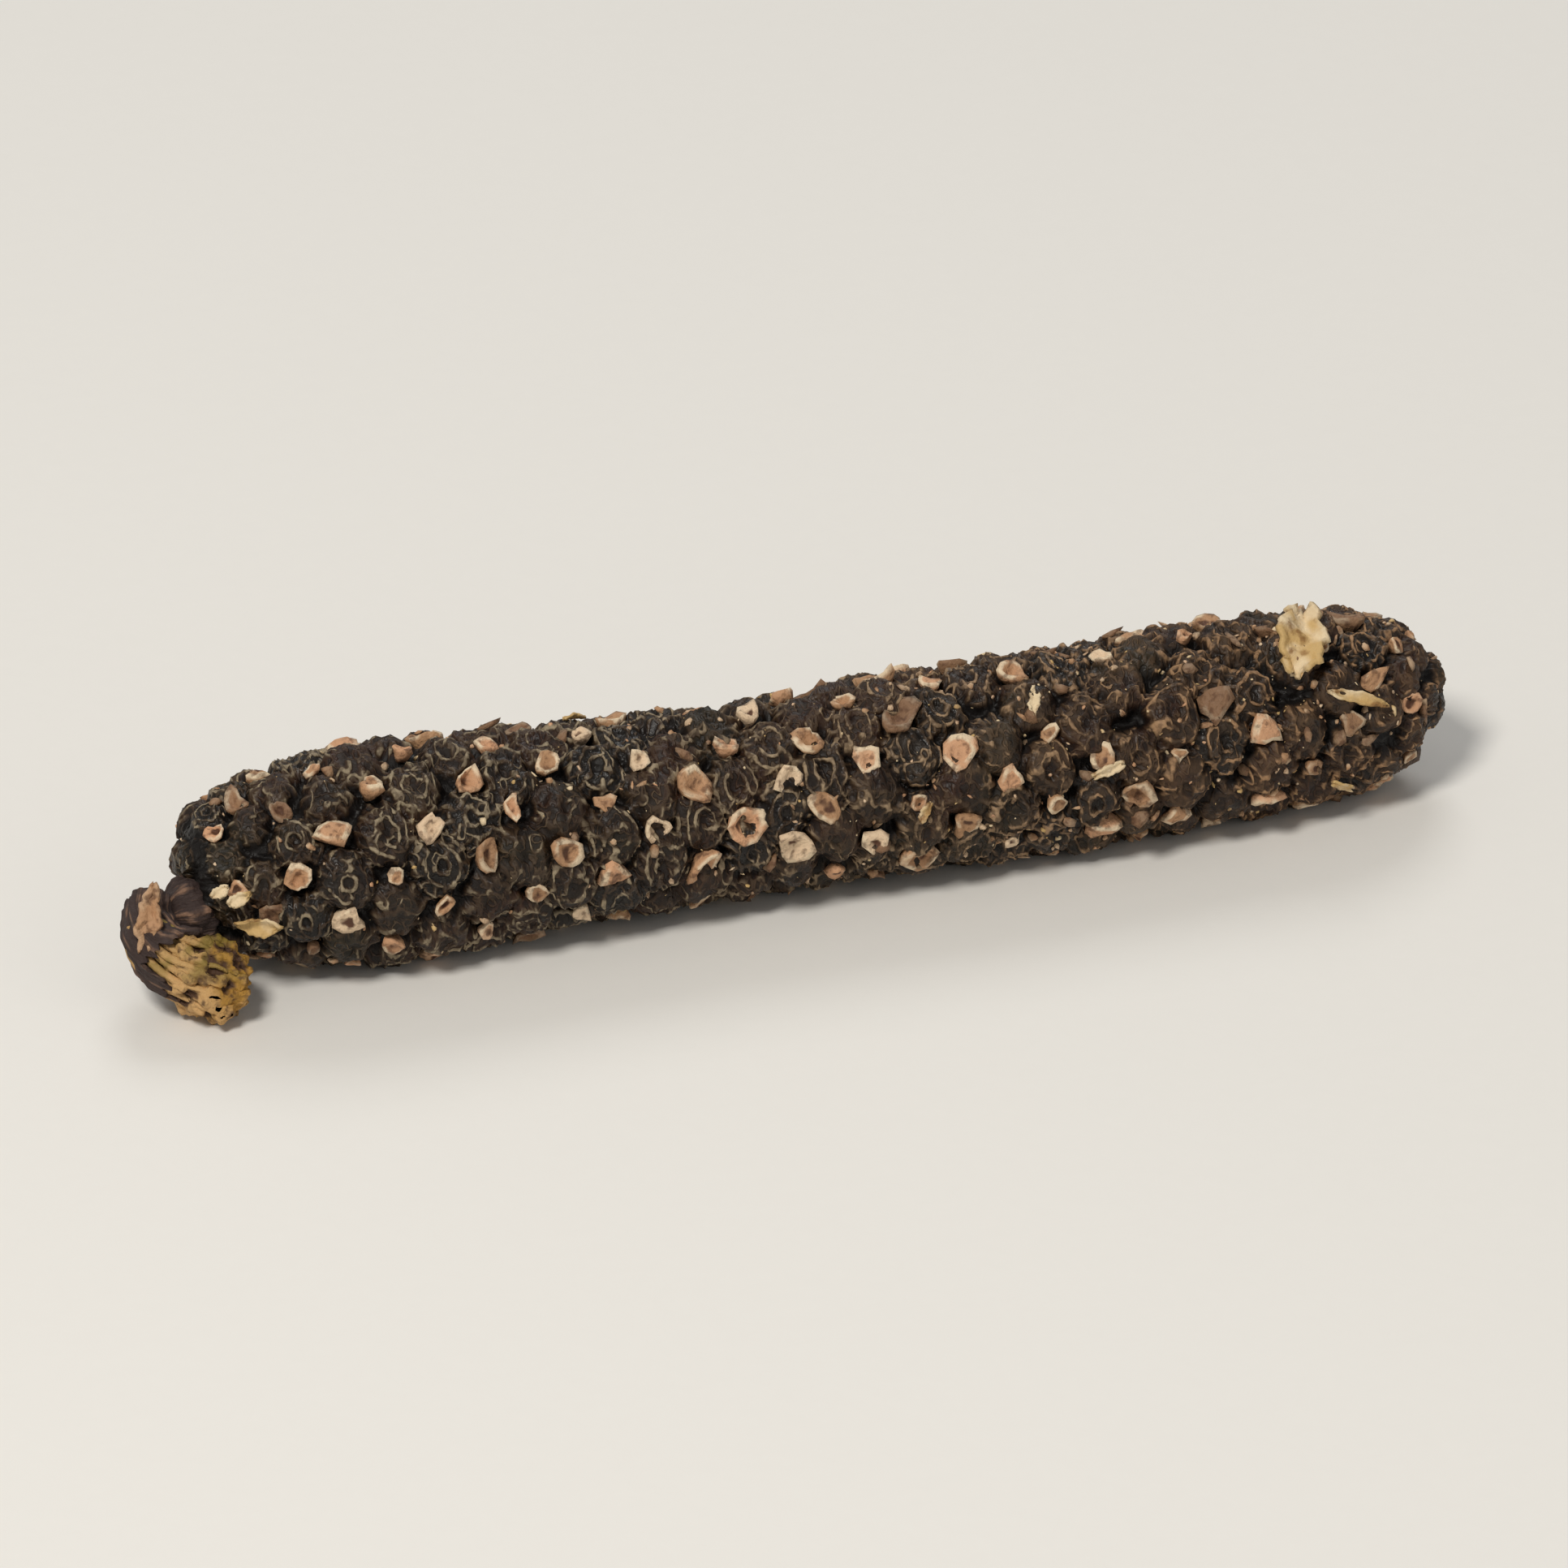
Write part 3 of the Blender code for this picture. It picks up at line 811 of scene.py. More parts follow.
def set_shapes(add, given, points, rotation, scale, tone, **chosen):
    """Sets a drawn shape on each point and gives it a tone."""
    shapes = add("GeometryNodeCollectionInfo", given["Shapes"], True, True)
    pick = add(DRAW_COUNT, Max=given["Last shape"], Seed=given["Seed"])
    picking = {"Pick Instance": True, "Instance Index": pick, **chosen}
    shape = add(ON_POINTS, Points=points, Instance=shapes, Rotation=rotation, Scale=scale, **picking)
    return add(REALIZE, add(KEEP_EACH, Geometry=shape, Name="tone", Value=tone))


def scatter_bracts_tree():
    """Tree that sets a bract in each gap, each turned, leaned, sized and bent by its own draw."""
    numbers = ("Radius", "Spread", "Smallest", "Largest", "Lean", "Missing", "Crumple")
    tree, add, given, place = new_geometry_tree("Scatter bracts", numbers, CHOICE)
    seed = given["Seed"]
    chance = add(DRAW, Seed=seed)
    kept = add("FunctionNodeCompare", chance, given["Missing"], operation="GREATER_THAN")
    upright = add("FunctionNodeAlignRotationToVector", Vector=(READ_VECTOR, "outward"), axis="Z")
    back = add(TIMES, given["Lean"], -1.0)
    lean_to = add(COMBINE, given["Lean"], given["Lean"], TURN)
    lean = add(DRAW_VECTOR, Min=(COMBINE, back, back, 0.0), Max=lean_to, Seed=seed)
    turned = add(ROTATE, upright, (FROM_ANGLES, lean))
    half = add(TIMES, given["Spread"], 0.5)
    least, most = add(MINUS, 1.0, half), add(PLUS, 1.0, half)
    narrow, wide = add(COMBINE, least, least, 1.0), add(COMBINE, most, most, 1.0)
    stretch = add(DRAW_VECTOR, Min=narrow, Max=wide, Seed=seed)
    grown = (RANGE, chance, 0.0, 1.0, given["Smallest"], given["Largest"])
    stretch = add(STRETCH, stretch, (TIMES, (READ, "size"), given["Radius"], grown))
    tone = add(DRAW, Seed=(PLUS, seed, 1.0))
    shape = set_shapes(add, given, given["Geometry"], turned, stretch, tone, Selection=kept)
    noise = add(NOISE, (STRETCH, place, 1.0 / MM), 1.0 / 0.40, 1.5, out="Color")
    bend = (STRETCH, (OFFSET, noise, (0.5, 0.5, 0.5)), given["Crumple"])
    return end_tree(tree, add, shape, add(SHIFT, place, bend), given)


def strew_tree():
    """Tree that strews crumbs over the skin, more of them towards the tip."""
    tree, add, given, place = new_geometry_tree("Strew crumbs", ("Density", "Radius"), CHOICE)
    seed = given["Seed"]
    along = add(SEPARATE, place, out="X")
    density = add(TIMES, given["Density"], (EASE, along, -10.0 * MM, 10.0 * MM, 0.5, 1.5))
    strewn = tree.nodes.new("GeometryNodeDistributePointsOnFaces")
    for label, value in (("Mesh", given["Geometry"]), ("Density", density), ("Seed", seed)):
        tree.links.new(value, strewn.inputs[label])
    tilt = 0.7
    spin = add(DRAW_VECTOR, Min=(-tilt, -tilt, 0.0), Max=(tilt, tilt, TURN), Seed=seed)
    turned = add(ROTATE, strewn.outputs["Rotation"], (FROM_ANGLES, spin))
    draw = add(DRAW, Seed=seed)
    size = add(TIMES, (RANGE, (POWER, draw, 4.0), 0.0, 1.0, 0.45, 2.1), given["Radius"])
    shape = set_shapes(add, given, strewn.outputs["Points"], turned, size, draw)
    shape = add(KEEP, Geometry=shape, Name="rim", Value=0.8)
    return end_tree(tree, add, shape, place, given)


def torn_fibres_tree():
    """Tree that lays fibres along the stub's path and leaves their ends ragged."""
    numbers = ("Root radius", "End radius", "Fibre radius", "Shortest", "Longest", "Splay")
    others = {"Path": "Object", "Fibres": "Int", "Seed": "Int", "Sag": "Vector"}
    tree, add, given, place = new_geometry_tree("Torn fibres", numbers, others)
    unit_rod = {"Vertices": 6, "Side Segments": 8, "Radius": 1.0, "Depth": 1.0}
    strand = add("GeometryNodeMeshCylinder", **unit_rod)
    strand = add("GeometryNodeTransform", Geometry=strand, Translation=(0.0, 0.0, 0.5))
    points = add("GeometryNodePoints", given["Fibres"])
    shape = add(ON_POINTS, Points=points, Instance=strand)
    index = add("GeometryNodeInputIndex")
    own = {
        "relief": add(DRAW, Min=0.40, Max=0.68, Seed=given["Seed"]),
        "reach": add(DRAW, Min=given["Shortest"], Max=given["Longest"], Seed=given["Seed"]),
        "ring": (ROOT, (OVER, (PLUS, index, 0.5), given["Fibres"])),
        "golden": (TIMES, index, GOLDEN_ANGLE),
    }
    for label, value in own.items():
        shape = add(KEEP_EACH, Geometry=shape, Name=label, Value=value)
    shape = add(REALIZE, shape)
    x, y, share = (add(SEPARATE, place, out=axis) for axis in "XYZ")
    reach, ring, golden = (add(READ, label) for label in ("reach", "ring", "golden"))
    way = add(TIMES, (PLUS, (TIMES, share, 0.7), 0.3), reach)
    sample = tree.nodes.new("GeometryNodeSampleCurve")
    sample.mode = "FACTOR"
    tree.links.new(add(INFO, given["Path"], out="Geometry"), sample.inputs["Curves"])
    tree.links.new(way, sample.inputs["Factor"])
    side = sample.outputs["Normal"]
    up = add(CROSS, sample.outputs["Tangent"], side)
    out = add(TIMES, (RANGE, way, 0.0, 1.0, given["Root radius"], given["End radius"]), ring)
    thick = add(TIMES, (EASE, share, 0.6, 1.0, 1.0, 0.5), given["Fibre radius"])
    on_side = (PLUS, (TIMES, x, thick, 1.4), (TIMES, (COSINE, golden), out))
    on_up = (PLUS, (TIMES, y, thick), (TIMES, (SINE, golden), out))
    moved = add(SHIFT, sample.outputs["Position"], (STRETCH, side, on_side))
    moved = add(SHIFT, moved, (STRETCH, up, on_up))
    kink = add(NOISE, (COMBINE, (TIMES, way, 2.6), golden, ring), 1.7, 1.0, out="Color")
    splay = (TIMES, (EASE, share, 0.2, 1.0), given["Splay"])
    moved = add(SHIFT, moved, (STRETCH, (OFFSET, kink, (0.5, 0.5, 0.5)), splay))
    moved = add(SHIFT, moved, (STRETCH, given["Sag"], (EASE, way, 0.35, 1.0)))
    return end_tree(tree, add, shape, moved, given)


def crumple_tree():
    """Tree that crumples a surface by noise of a real size."""
    tree, add, given, place = new_geometry_tree("Crumple", ("Size", "Depth", "Shift"))
    ground = add(STRETCH, place, 1.0 / MM)
    scale = add(OVER, MM, given["Size"])
    coarse = add(NOISE, ground, scale, 3.0)
    shape = add(KEEP, Geometry=given["Geometry"], Name="relief", Value=coarse)
    push = (STRETCH, add(NORMAL), (TIMES, (MINUS, coarse, 0.5), given["Depth"]))
    side = add(OFFSET, add(NOISE, ground, scale, 2.0, out="Color"), (0.5, 0.5, 0.5))
    moved = add(SHIFT, (STRETCH, side, given["Shift"]), push)
    return end_tree(tree, add, shape, add(SHIFT, moved, place), given)


def crumpling(size, depth, shift):
    """Values for the crumple tree, from millimetres."""
    return {"Size": size * MM, "Depth": depth * MM, "Shift": shift * MM}


def build_skin(scene):
    """The spike's skin: one closed surface with every berry raised from it."""
    skin = scene.pepper_skin
    meridian = Meridian()
    run, angle, size = berry_places(meridian)
    outward, along = meridian.directions(run, angle)
    draw = scatter(np.arange(len(run)), DRAW_STRIDE) + 0.5
    marks = {"outward": outward, "along": along, "size": size, "draw": draw}
    places = points_mesh("berry places", meridian.point(run, angle), marks)
    places = add_object("berry places", places)

    def place(share, turn):
        return meridian.point(share * meridian.length, turn)

    mesh = sphere_mesh("spike_skin", skin.columns, skin.rows, place)
    values = {**values_of(skin), "Berry places": places, "Reach": BERRY_REACH, "Rise": BERRY_RISE}
    tree, material = raise_berries_tree(), dried_pericarp(skin)
    make_piece("spike_skin", mesh, tree, values, material, "spike", "spike", box=SPIKE_BOX)
    bpy.data.objects.remove(places)


def bract_shape(name, lobes=0.0, oval=1.0, sunk=0.2, curl=0.0, bite=0.0, sides=10):
    """A bract's shape: a small shield with a raised rim and a foot, radius 1.

    Lobes make it three-cornered, oval lengthens it, curl lifts its two ends, and bite opens it on
    one side to a horseshoe.
    """
    # Radius, height and paleness of the rings, from the sunken middle over the rim to the foot
    # The paleness marks where the bract's material paints highlight on the raised rim
    top = ((0.36, -sunk, 0.0), (0.70, 0.08, 0.9), (0.95, 0.02, 1.0))
    rings = (*top, (0.92, -0.35, 0.6), (0.42, -1.1, 0.3))
    body = bmesh.new()
    rim = body.verts.layers.float.new("rim")
    middle = body.verts.new((0.0, 0.0, -0.1 - sunk))
    foot = body.verts.new((0.0, 0.0, -1.2))
    loops = []
    for radius, height, paleness in rings:
        loop = []
        for step in range(sides):
            turn = TURN * step / sides
            uneven = 1.0 + 0.18 * scatter(step + 5 * sides * lobes + 3.0 * oval, SIZE_STRIDE)
            opened = 1.0 - bite * math.exp(-((math.sin(0.5 * turn) / 0.42) ** 2))
            wave = radius * uneven * opened * (1.0 + lobes * math.cos(3.0 * turn))
            x, y = oval * wave * math.cos(turn), wave * math.sin(turn)
            vert = body.verts.new((x, y, height + curl * x * x))
            vert[rim] = paleness
            loop.append(vert)
        loops.append(loop)
    for step in range(sides):
        after = (step + 1) % sides
        body.faces.new((middle, loops[0][step], loops[0][after]))
        for inner, outer in zip(loops, loops[1:]):
            body.faces.new((inner[step], outer[step], outer[after], inner[after]))
        body.faces.new((foot, loops[-1][after], loops[-1][step]))
    return bpy.data.objects.new(name, mesh_from(name, body))


def crumb_shape(name, length, width, thickness):
    """A crumb's shape, radius 1: a low-sided pebble, chip or splinter."""
    body = bmesh.new()
    bmesh.ops.create_icosphere(body, subdivisions=1, radius=1.0)
    for index, vert in enumerate(body.verts):
        uneven = 1.0 + 0.6 * scatter(index + 7.0 * length, SIZE_STRIDE)
        vert.co = Vector((length * vert.co.x, width * vert.co.y, thickness * vert.co.z)) * uneven
    return bpy.data.objects.new(name, mesh_from(name, body))


def build_bracts(scene):
    """The bracts, one in most gaps among four berries, and the bits that broke off them."""
    bracts = scene.pepper_bracts
    meridian = Meridian()
    run, angle, size = gap_places(meridian)
    index = np.arange(len(run))
    stray = 2.0 * bracts.stray * size
    run = run + stray * scatter(index, RUN_STRIDE)
    angle = angle + stray * scatter(index, ROUND_STRIDE) / meridian.at(run)[1]
    outward = meridian.directions(run, angle)[0]
    tops = meridian.point(run, angle) + bracts.rise * size[:, None] * outward
    shapes = (
        bract_shape("three-cornered bract", lobes=0.20, sunk=0.05),
        bract_shape("long bract", lobes=0.05, oval=1.6, sunk=0.30, curl=0.1),
        bract_shape("horseshoe bract", lobes=0.06, oval=1.1, sunk=0.30, bite=0.7),
        bract_shape("curled bract", lobes=0.14, oval=1.3, sunk=0.05, curl=0.22),
        bract_shape("folded bract", lobes=0.20, oval=0.9, sunk=-0.20, curl=-0.20),
        bract_shape("broken bract", lobes=0.10, oval=0.9, sunk=0.0, curl=0.15, bite=0.4),
        bract_shape("round bract", lobes=0.04, sunk=0.32),
    )
    picked = shape_collection("bract shapes", shapes)
    values = {**values_of(bracts), "Shapes": picked, "Last shape": len(shapes) - 1}
    mesh = points_mesh("bracts", tops, {"outward": outward, "size": size})
    tree, material = scatter_bracts_tree(), dry_bract(bracts)
    make_piece("bracts", mesh, tree, values, material, "spike", "spike", box=SPIKE_BOX)
    bpy.data.collections.remove(picked)
    strew("bract_scraps", bracts.scraps, bracts.scrap_radius, bracts.seed, material)


def strew(name, count, radius, seed, material):
    """Strews broken bits over the skin as one piece."""
    skin = bpy.data.objects["spike_skin"].data
    pebble = crumb_shape("pebble", 0.9, 0.7, 0.55)
    chip = crumb_shape("chip", 1.2, 0.9, 0.35)
    splinter = crumb_shape("splinter", 1.5, 0.55, 0.35)
    shapes = shape_collection("crumb shapes", (pebble, chip, splinter))
    area = sum(face.area for face in skin.polygons)
    values = {"Shapes": shapes, "Last shape": 2, "Density": count / area, "Radius": radius, "Seed": seed}
    make_piece(name, skin.copy(), strew_tree(), values, material, "spike", box=SPIKE_BOX)
    bpy.data.collections.remove(shapes)


def along_stub(share, angle):
    """Place on the bark for its streaks, drawn out along the stub."""
    around = STREAKS_ROUND * np.stack([np.cos(angle), np.sin(angle)], axis=-1)
    return np.concatenate([around, STREAKS_ALONG * share[:, None]], axis=1)


def build_bark(stalk, crumple, material):
    """The stub's bark: a wrinkled tube, torn back on one side and turned in at its rim."""
    knots = (0.0, 0.12, 0.60, 0.64, 0.90, 1.0)

    def place(share, angle):
        off = np.angle(np.exp(1j * (angle - stalk.torn_side)))
        frayed = 0.035 * np.sin(9.0 * angle) + 0.028 * np.sin(23.0 * angle + 1.0)
        frayed += 0.03 * np.sin(5.0 * angle)
        rim = 0.86 - stalk.torn_back * np.exp(-((off / 1.15) ** 2)) + frayed
        reach = rim * np.interp(share, knots, (0.0, 0.0, 1.0, 1.0, 0.6, 0.6))
        inward = np.interp(share, knots, (1.0, 0.1, 0.0, stalk.wall, 2.0 * stalk.wall, 1.0))
        middle, tangent, side, up = stalk_frame(reach)
        ridge = 0.95 + 0.05 * np.cos(7.0 * angle + 2.0 * reach)
        ridge += 0.03 * np.cos(16.0 * angle + 3.0 * reach)
        ring = (stalk_radius(reach) * ridge * (1.0 - inward))[:, None]
        return middle + ring * (side * np.cos(angle)[:, None] + up * np.sin(angle)[:, None])

    mesh = sphere_mesh("stalk_bark", 140, 100, place, {"way": along_stub})
    make_piece("stalk_bark", mesh, crumple, crumpling(0.34, 0.22, 0.08), material, "stalk", "stalk")


def build_shoulder(crumple, material):
    """The knot of bark between the stub and the end of the spike."""
    centre = np.array((-13.30 * MM, -0.30 * MM, 1.62 * MM))
    radii = np.array((0.62 * MM, 0.78 * MM, 0.86 * MM))

    def place(share, angle):
        across = np.sin(math.pi * share) * (1.0 + 0.05 * np.cos(7.0 * angle) + 0.03 * np.cos(15.0 * angle))
        ball = np.stack([-np.cos(math.pi * share), across * np.cos(angle), across * np.sin(angle)], axis=-1)
        return centre + radii * ball

    mesh = sphere_mesh("stalk_shoulder", 72, 48, place, {"way": along_stub})
    make_piece("stalk_shoulder", mesh, crumple, crumpling(0.40, 0.35, 0.10), material, "stalk", "stalk")


def build_pith(crumple, material):
    """The stub's pith: a lumpy, fibrous core that ends in a ragged tear."""
    knots = (0.0, 0.10, 0.50, 1.0)
    bulge = 0.62 * MM

    def place(share, angle):
        reach = np.interp(share, knots, (0.15, 0.15, 1.0, 1.0))
        rooted = np.interp(share, knots, (0.0, 1.0, 1.0, 1.0))
        turn = 0.5 * math.pi * np.interp(share, knots, (0.0, 0.0, 0.0, 1.0))
        strands = 0.05 * np.cos(11.0 * angle) + 0.04 * np.cos(24.0 * angle + 4.0 * reach)
        middle, tangent, side, up = stalk_frame(reach)
        fill = np.interp(reach, (0.0, 0.60, 0.80, 1.0), (0.55, 0.62, 0.90, 0.92))
        ring = (stalk_radius(reach) * (fill + strands) * rooted * np.cos(turn))[:, None]
        across = side * np.cos(angle)[:, None] + up * np.sin(angle)[:, None]
        sag = smooth_step((reach - 0.35) / 0.65)[:, None] * np.array(STALK_SAG)
        return middle + ring * across + (bulge * np.sin(turn))[:, None] * tangent + sag

    mesh = sphere_mesh("stalk_pith", 150, 110, place)
    make_piece("stalk_pith", mesh, crumple, crumpling(0.44, 0.85, 0.25), material, "stalk", "stalk")


def build_fibres(stalk, material):
    """The torn fibres that stand out of the pith."""
    points, past_end = 28, 1.06
    middle = stalk_frame(np.linspace(0.0, past_end, points))[0]
    curve = bpy.data.curves.new("stub path", "CURVE")
    curve.dimensions = "3D"
    line = curve.splines.new("POLY")
    line.points.add(points - 1)
    for point, place in zip(line.points, middle):
        point.co = (*place, 1.0)
    path = add_object("stub path", curve)
    values = {**values_of(stalk), "Path": path, "Sag": STALK_SAG, "Splay": 0.55 * MM}
    values.update({"Root radius": 0.80 * STALK_ROOT_RADIUS, "End radius": 0.90 * STALK_END_RADIUS})
    values.update({"Shortest": 0.78, "Longest": 1.0})
    mesh = bpy.data.meshes.new("stalk_fibres")
    make_piece("stalk_fibres", mesh, torn_fibres_tree(), values, material, "stalk", "stalk")
    bpy.data.objects.remove(path)


class Sheet:
    """A ragged, cupped sheet of husk or bark that clings to a surface."""

    def __init__(self, centre, outward, along, length, width, twist):
        self.centre, self.outward, self.along = centre, outward, along
        self.length, self.width, self.twist = length * MM, width * MM, twist

    def add_to(self, body, steps_long=22, steps_wide=10):
        """Adds the sheet to a mesh."""
        across = self.outward.cross(self.along)
        grid = []
        for row in range(steps_long + 1):
            u = 2.0 * row / steps_long - 1.0
            ragged = 1.0 + 0.13 * math.sin(7.0 * u + self.twist)
            ragged += 0.09 * math.sin(17.0 * u + 2.0 * self.twist)
            narrow = math.sqrt(max(0.0, 1.0 - 0.9 * u * u)) * ragged
            line = []
            for column in range(steps_wide + 1):
                v = 2.0 * column / steps_wide - 1.0
                x = 0.5 * self.length * u * (1.0 + 0.12 * math.sin(6.0 * v + self.twist))
                y = 0.5 * self.width * v * narrow
                lift = 0.14 * math.sin(3.0 * u + self.twist) * v + 0.24 * (v * v - 0.4) - 0.10 * u * u
                place = self.centre + self.along * x + across * y + self.outward * (self.width * lift)
                line.append(body.verts.new(place))
            grid.append(line)
        for low, high in zip(grid, grid[1:]):
            for column in range(steps_wide):
                body.faces.new((low[column], high[column], high[column + 1], low[column + 1]))


def on_skin(share, degrees, turn, length, width, twist, lift=1.05):
    """A sheet over the skin, turned on it, its sizes in millimetres and its lift in berries."""
    meridian = Meridian()
    run, angle = np.array([share * meridian.length]), np.array([math.radians(degrees)])
    outward, along = (Vector(vectors[0]) for vectors in meridian.directions(run, angle))
    turn = math.radians(turn)
    along = along * math.cos(turn) + outward.cross(along) * math.sin(turn)
    centre = Vector(meridian.point(run, angle)[0]) + outward * (lift * BERRY_RISE)
    return Sheet(centre, outward, along, length, width, twist)


def sheet_piece(name, slot, sheets, crumple, values, material, wall, marks=None):
    """Turns sheets into a finished piece with a wall."""
    body = bmesh.new()
    for sheet in sheets:
        sheet.add_to(body)
    mesh = mesh_from(name, body)
    mark(mesh, {label: np.full(len(mesh.vertices), value) for label, value in (marks or {}).items()})
    make_piece(name, mesh, crumple, values, material, slot, wall=wall)


def build_husks(crumple, material):
    """The flake near the tip and the slivers and chips caught on the skin."""
    slivers = (
        on_skin(0.896, 149.0, -21.0, 1.30, 0.24, 0.0),
        on_skin(0.884, 205.0, -35.0, 0.60, 0.20, 1.7),
        on_skin(0.046, 163.0, 25.0, 0.42, 0.22, 3.4),
        on_skin(0.058, 168.0, 24.0, 0.52, 0.25, 5.1),
        on_skin(0.070, 187.0, -5.0, 0.95, 0.42, 4.2),
        on_skin(0.560, 172.0, 60.0, 0.45, 0.20, 6.8),
        on_skin(0.700, 165.0, 15.0, 0.70, 0.22, 8.5),
        on_skin(0.655, 120.0, 70.0, 0.70, 0.22, 10.2),
        on_skin(0.330, 60.0, 40.0, 0.70, 0.24, 11.9),
        on_skin(0.780, 320.0, 10.0, 0.60, 0.30, 13.6),
        on_skin(0.450, 10.0, -50.0, 0.55, 0.22, 15.3),
    )
    bent = crumpling(0.34, 0.08, 0.08)
    sheet_piece("husk_slivers", "spike", slivers, crumple, bent, material, 0.06 * MM)
    flake = on_skin(0.866, 108.0, 70.0, 1.85, 1.0, 0.8, lift=1.1)
    bent = crumpling(0.34, 0.26, 0.26)
    sheet_piece("husk_flake", "spike", (flake,), crumple, bent, material, 0.12 * MM)


def build_flap(stage, crumple, material):
    """The tan flap of bark that stands on the stub."""
    view = direction(stage.azimuth, stage.elevation)
    upward = (Vector((0.0, 0.0, 1.0)) - view * view.z).normalized()
    lean = (upward + view.cross(upward) * -0.12).normalized()
    centre = Vector((-14.42 * MM, -1.12 * MM, 2.30 * MM))
    flap = Sheet(centre, view, lean, 1.35, 0.42, 2.2)
    marks = {"tone": 0.60, "rim": 0.72}
    bent = crumpling(0.34, 0.30, 0.30)
    sheet_piece("stalk_flap", "stalk", (flap,), crumple, bent, material, 0.09 * MM, marks)


def direction(azimuth, elevation):
    """Direction from the pepper towards a viewer."""
    flat = math.cos(elevation)
    return Vector((math.sin(azimuth) * flat, -math.cos(azimuth) * flat, math.sin(elevation)))


def look_from(thing, away, centre, distance):
    """Sets a light or a camera at a distance and turns it to the centre."""
    thing.location = centre + away * distance
    thing.rotation_euler = away.to_track_quat("Z", "Y").to_euler()


def add_light(name, azimuth, elevation, distance, size, power, colour):
    """Adds a soft round light that faces the pepper."""
    light = bpy.data.lights.new(name, "AREA")
    light.shape = "DISK"
    light.size = size
    light.energy = power
    light.color = colour
    away = direction(math.radians(azimuth), math.radians(elevation))
    look_from(add_object(name, light), away, Vector(), distance)


def build_stage(scene):
    """A pale paper floor, soft lights and the camera."""
    stage = scene.pepper_stage
    bpy.ops.mesh.primitive_circle_add(vertices=96, radius=stage.floor, fill_type="NGON")
    floor = bpy.context.object
    floor.name = "paper_floor"
    floor.data.materials.append(matte_paper(stage))

    lowest, highest = (Vector(corner) for corner in CAD_BOX)
    lens = bpy.data.cameras.new("camera")
    lens.lens = lens.sensor_width * stage.distance / stage.width
    lens.clip_start = 0.01
    lens.clip_end = 10.0
    scene.camera = add_object("camera", lens)
    away = direction(stage.azimuth, stage.elevation)
    look_from(scene.camera, away, 0.5 * (lowest + highest), stage.distance)

    add_light("key", -48.0, 54.0, distance=0.30, size=0.08, power=0.54, colour=(1.0, 0.96, 0.90))
    add_light("fill", 40.0, 28.0, distance=0.40, size=0.30, power=0.10, colour=(1.0, 0.98, 0.96))
    add_light("back", 160.0, 45.0, distance=0.35, size=0.16, power=0.30, colour=(1.0, 1.0, 1.0))

    world = bpy.data.worlds.new("soft room")
    world.use_nodes = True
    room = world.node_tree.nodes["Background"].inputs
    room["Color"].default_value = (1.0, 0.985, 0.96, 1.0)
    room["Strength"].default_value = 0.24
    scene.world = world
    scene.view_settings.view_transform = "Standard"



class PEPPER_OT_skin(Operator):
    """Build the spike's skin with its berries"""

    bl_idname = "pepper.skin"
    bl_label = "Spike skin"

    def execute(self, context):
        build_skin(context.scene)
        return {"FINISHED"}


class PEPPER_OT_bracts(Operator):
    """Build the bracts in the gaps among the berries"""

    bl_idname = "pepper.bracts"
    bl_label = "Bracts"

    def execute(self, context):
        build_bracts(context.scene)
        return {"FINISHED"}


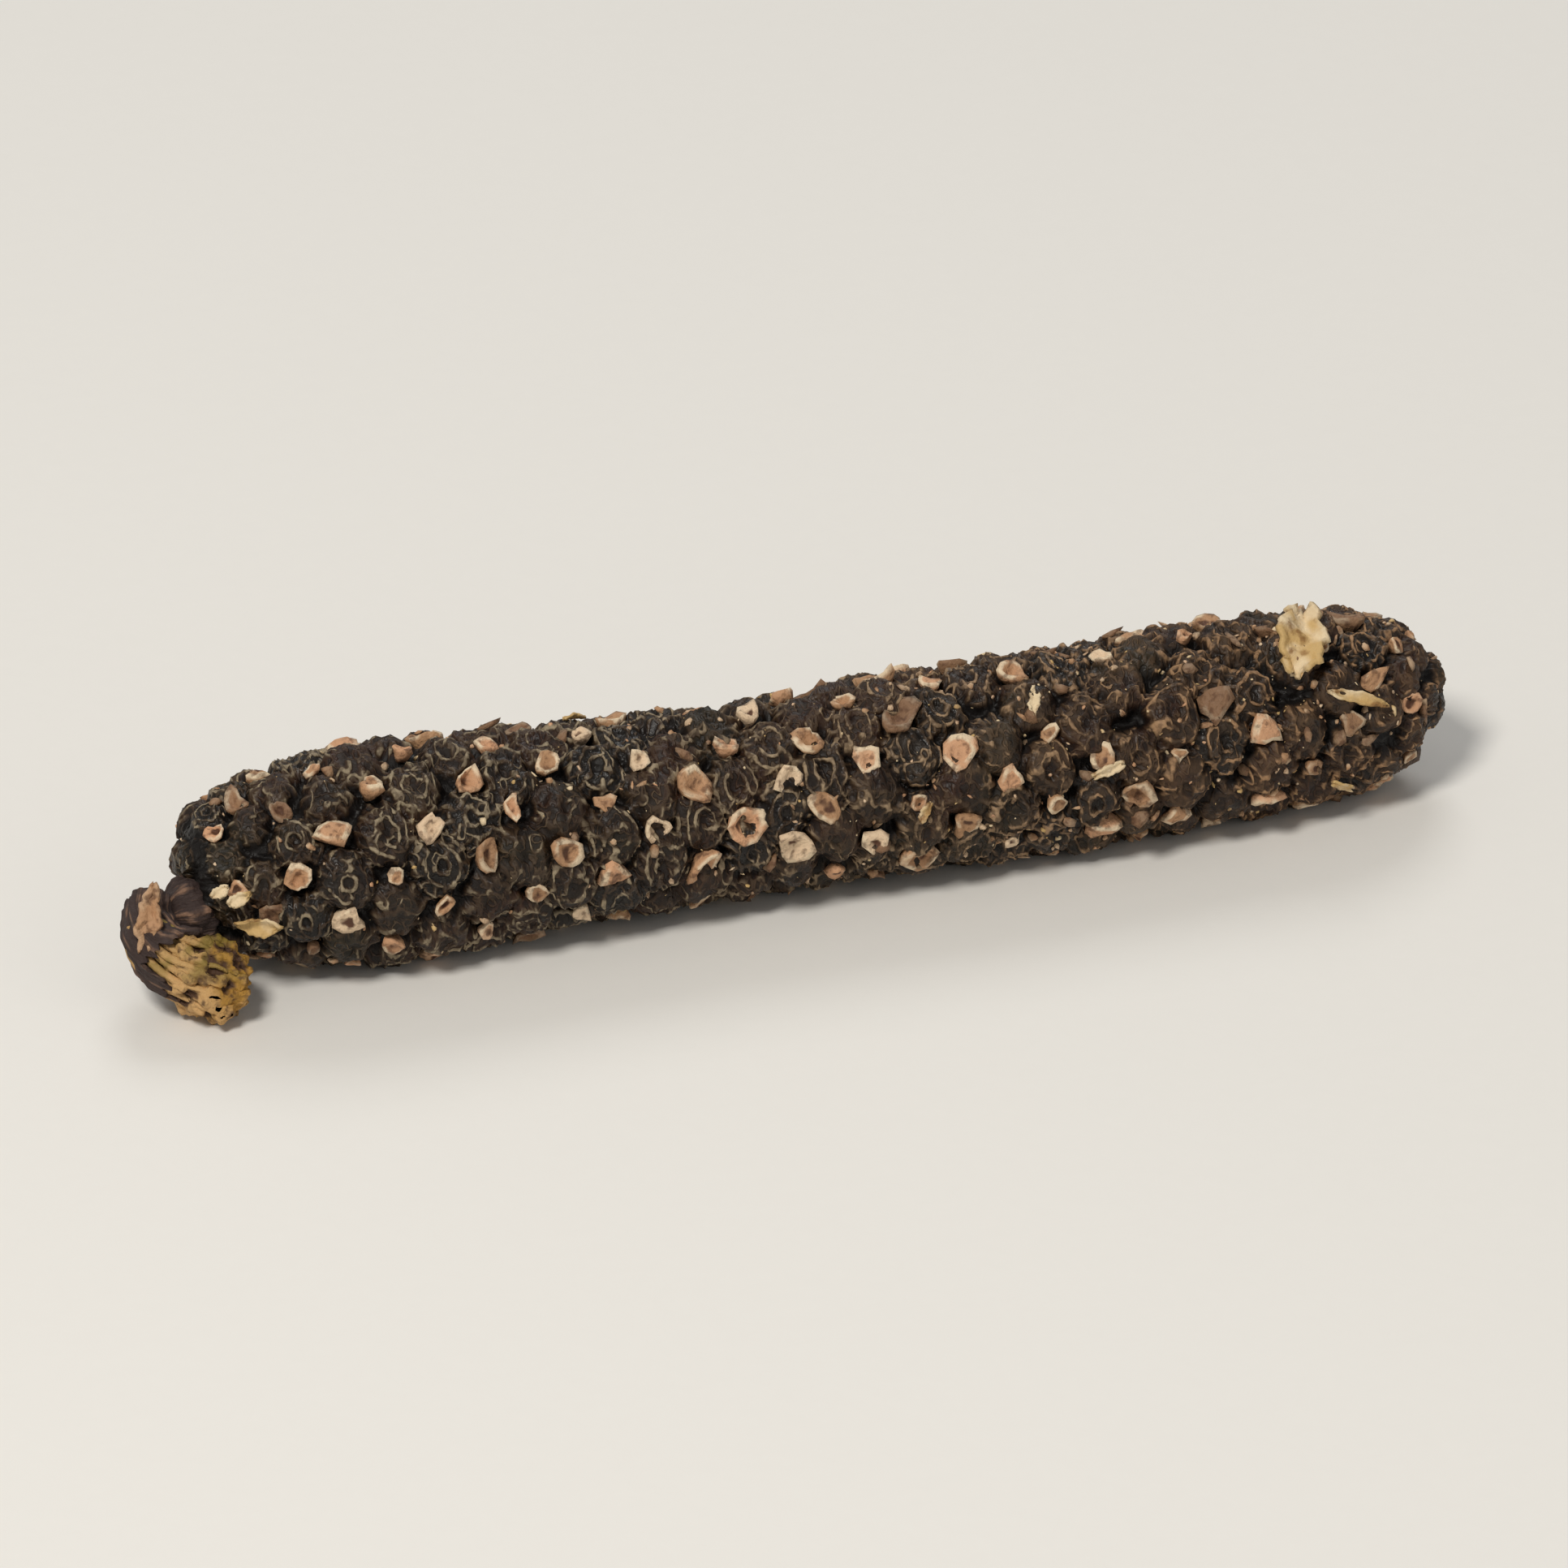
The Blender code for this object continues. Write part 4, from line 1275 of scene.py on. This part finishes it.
class PEPPER_OT_stalk(Operator):
    """Build the stub of the stalk: bark, pith, torn fibres and a flap"""

    bl_idname = "pepper.stalk"
    bl_label = "Stub of stalk"

    def execute(self, context):
        stalk = context.scene.pepper_stalk
        crumple = crumple_tree()
        bark = stalk_bark(stalk)
        pith = torn_pith(stalk)
        build_bark(stalk, crumple, bark)
        build_shoulder(crumple, bark)
        build_pith(crumple, pith)
        build_fibres(stalk, pith)
        build_flap(context.scene.pepper_stage, crumple, bpy.data.materials["dry bract"])
        return {"FINISHED"}


class PEPPER_OT_chaff(Operator):
    """Build the chaff, the flake and the slivers of husk that cling to the skin"""

    bl_idname = "pepper.chaff"
    bl_label = "Chaff and husks"

    def execute(self, context):
        chaff = context.scene.pepper_chaff
        material = dry_husk(chaff)
        strew("chaff", chaff.crumbs, chaff.crumb_radius, chaff.seed, material)
        build_husks(crumple_tree(), material)
        return {"FINISHED"}


class PEPPER_OT_stage(Operator):
    """Set up the floor, the lights and the camera"""

    bl_idname = "pepper.stage"
    bl_label = "Stage"

    def execute(self, context):
        build_stage(context.scene)
        return {"FINISHED"}


STEPS = (PEPPER_OT_skin, PEPPER_OT_bracts, PEPPER_OT_stalk, PEPPER_OT_chaff, PEPPER_OT_stage)


class PEPPER_PT_panel(Panel):
    """Lists the pepper's pieces and their settings"""

    bl_idname = "PEPPER_PT_panel"
    bl_label = "Long Pepper"
    bl_space_type = "VIEW_3D"
    bl_region_type = "UI"
    bl_category = "Long Pepper"

    def draw(self, context):
        for step in STEPS:
            self.layout.operator(step.bl_idname)
        for name in GROUPS:
            group = getattr(context.scene, name)
            box = self.layout.box()
            for label in group.__annotations__:
                box.prop(group, label)


def register():
    """Registers the settings, the operators and the panel."""
    for name, group in GROUPS.items():
        bpy.utils.register_class(group)
        setattr(bpy.types.Scene, name, PointerProperty(type=group))
    for item in (*STEPS, PEPPER_PT_panel):
        bpy.utils.register_class(item)


def unregister():
    """Takes them away again."""
    for item in reversed((*STEPS, PEPPER_PT_panel)):
        bpy.utils.unregister_class(item)
    for name, group in GROUPS.items():
        delattr(bpy.types.Scene, name)
        bpy.utils.unregister_class(group)


def main():
    """Builds every piece."""
    register()
    bpy.ops.pepper.skin()
    bpy.ops.pepper.bracts()
    bpy.ops.pepper.stalk()
    bpy.ops.pepper.chaff()
    bpy.ops.pepper.stage()


if __name__ == "__main__":
    main()
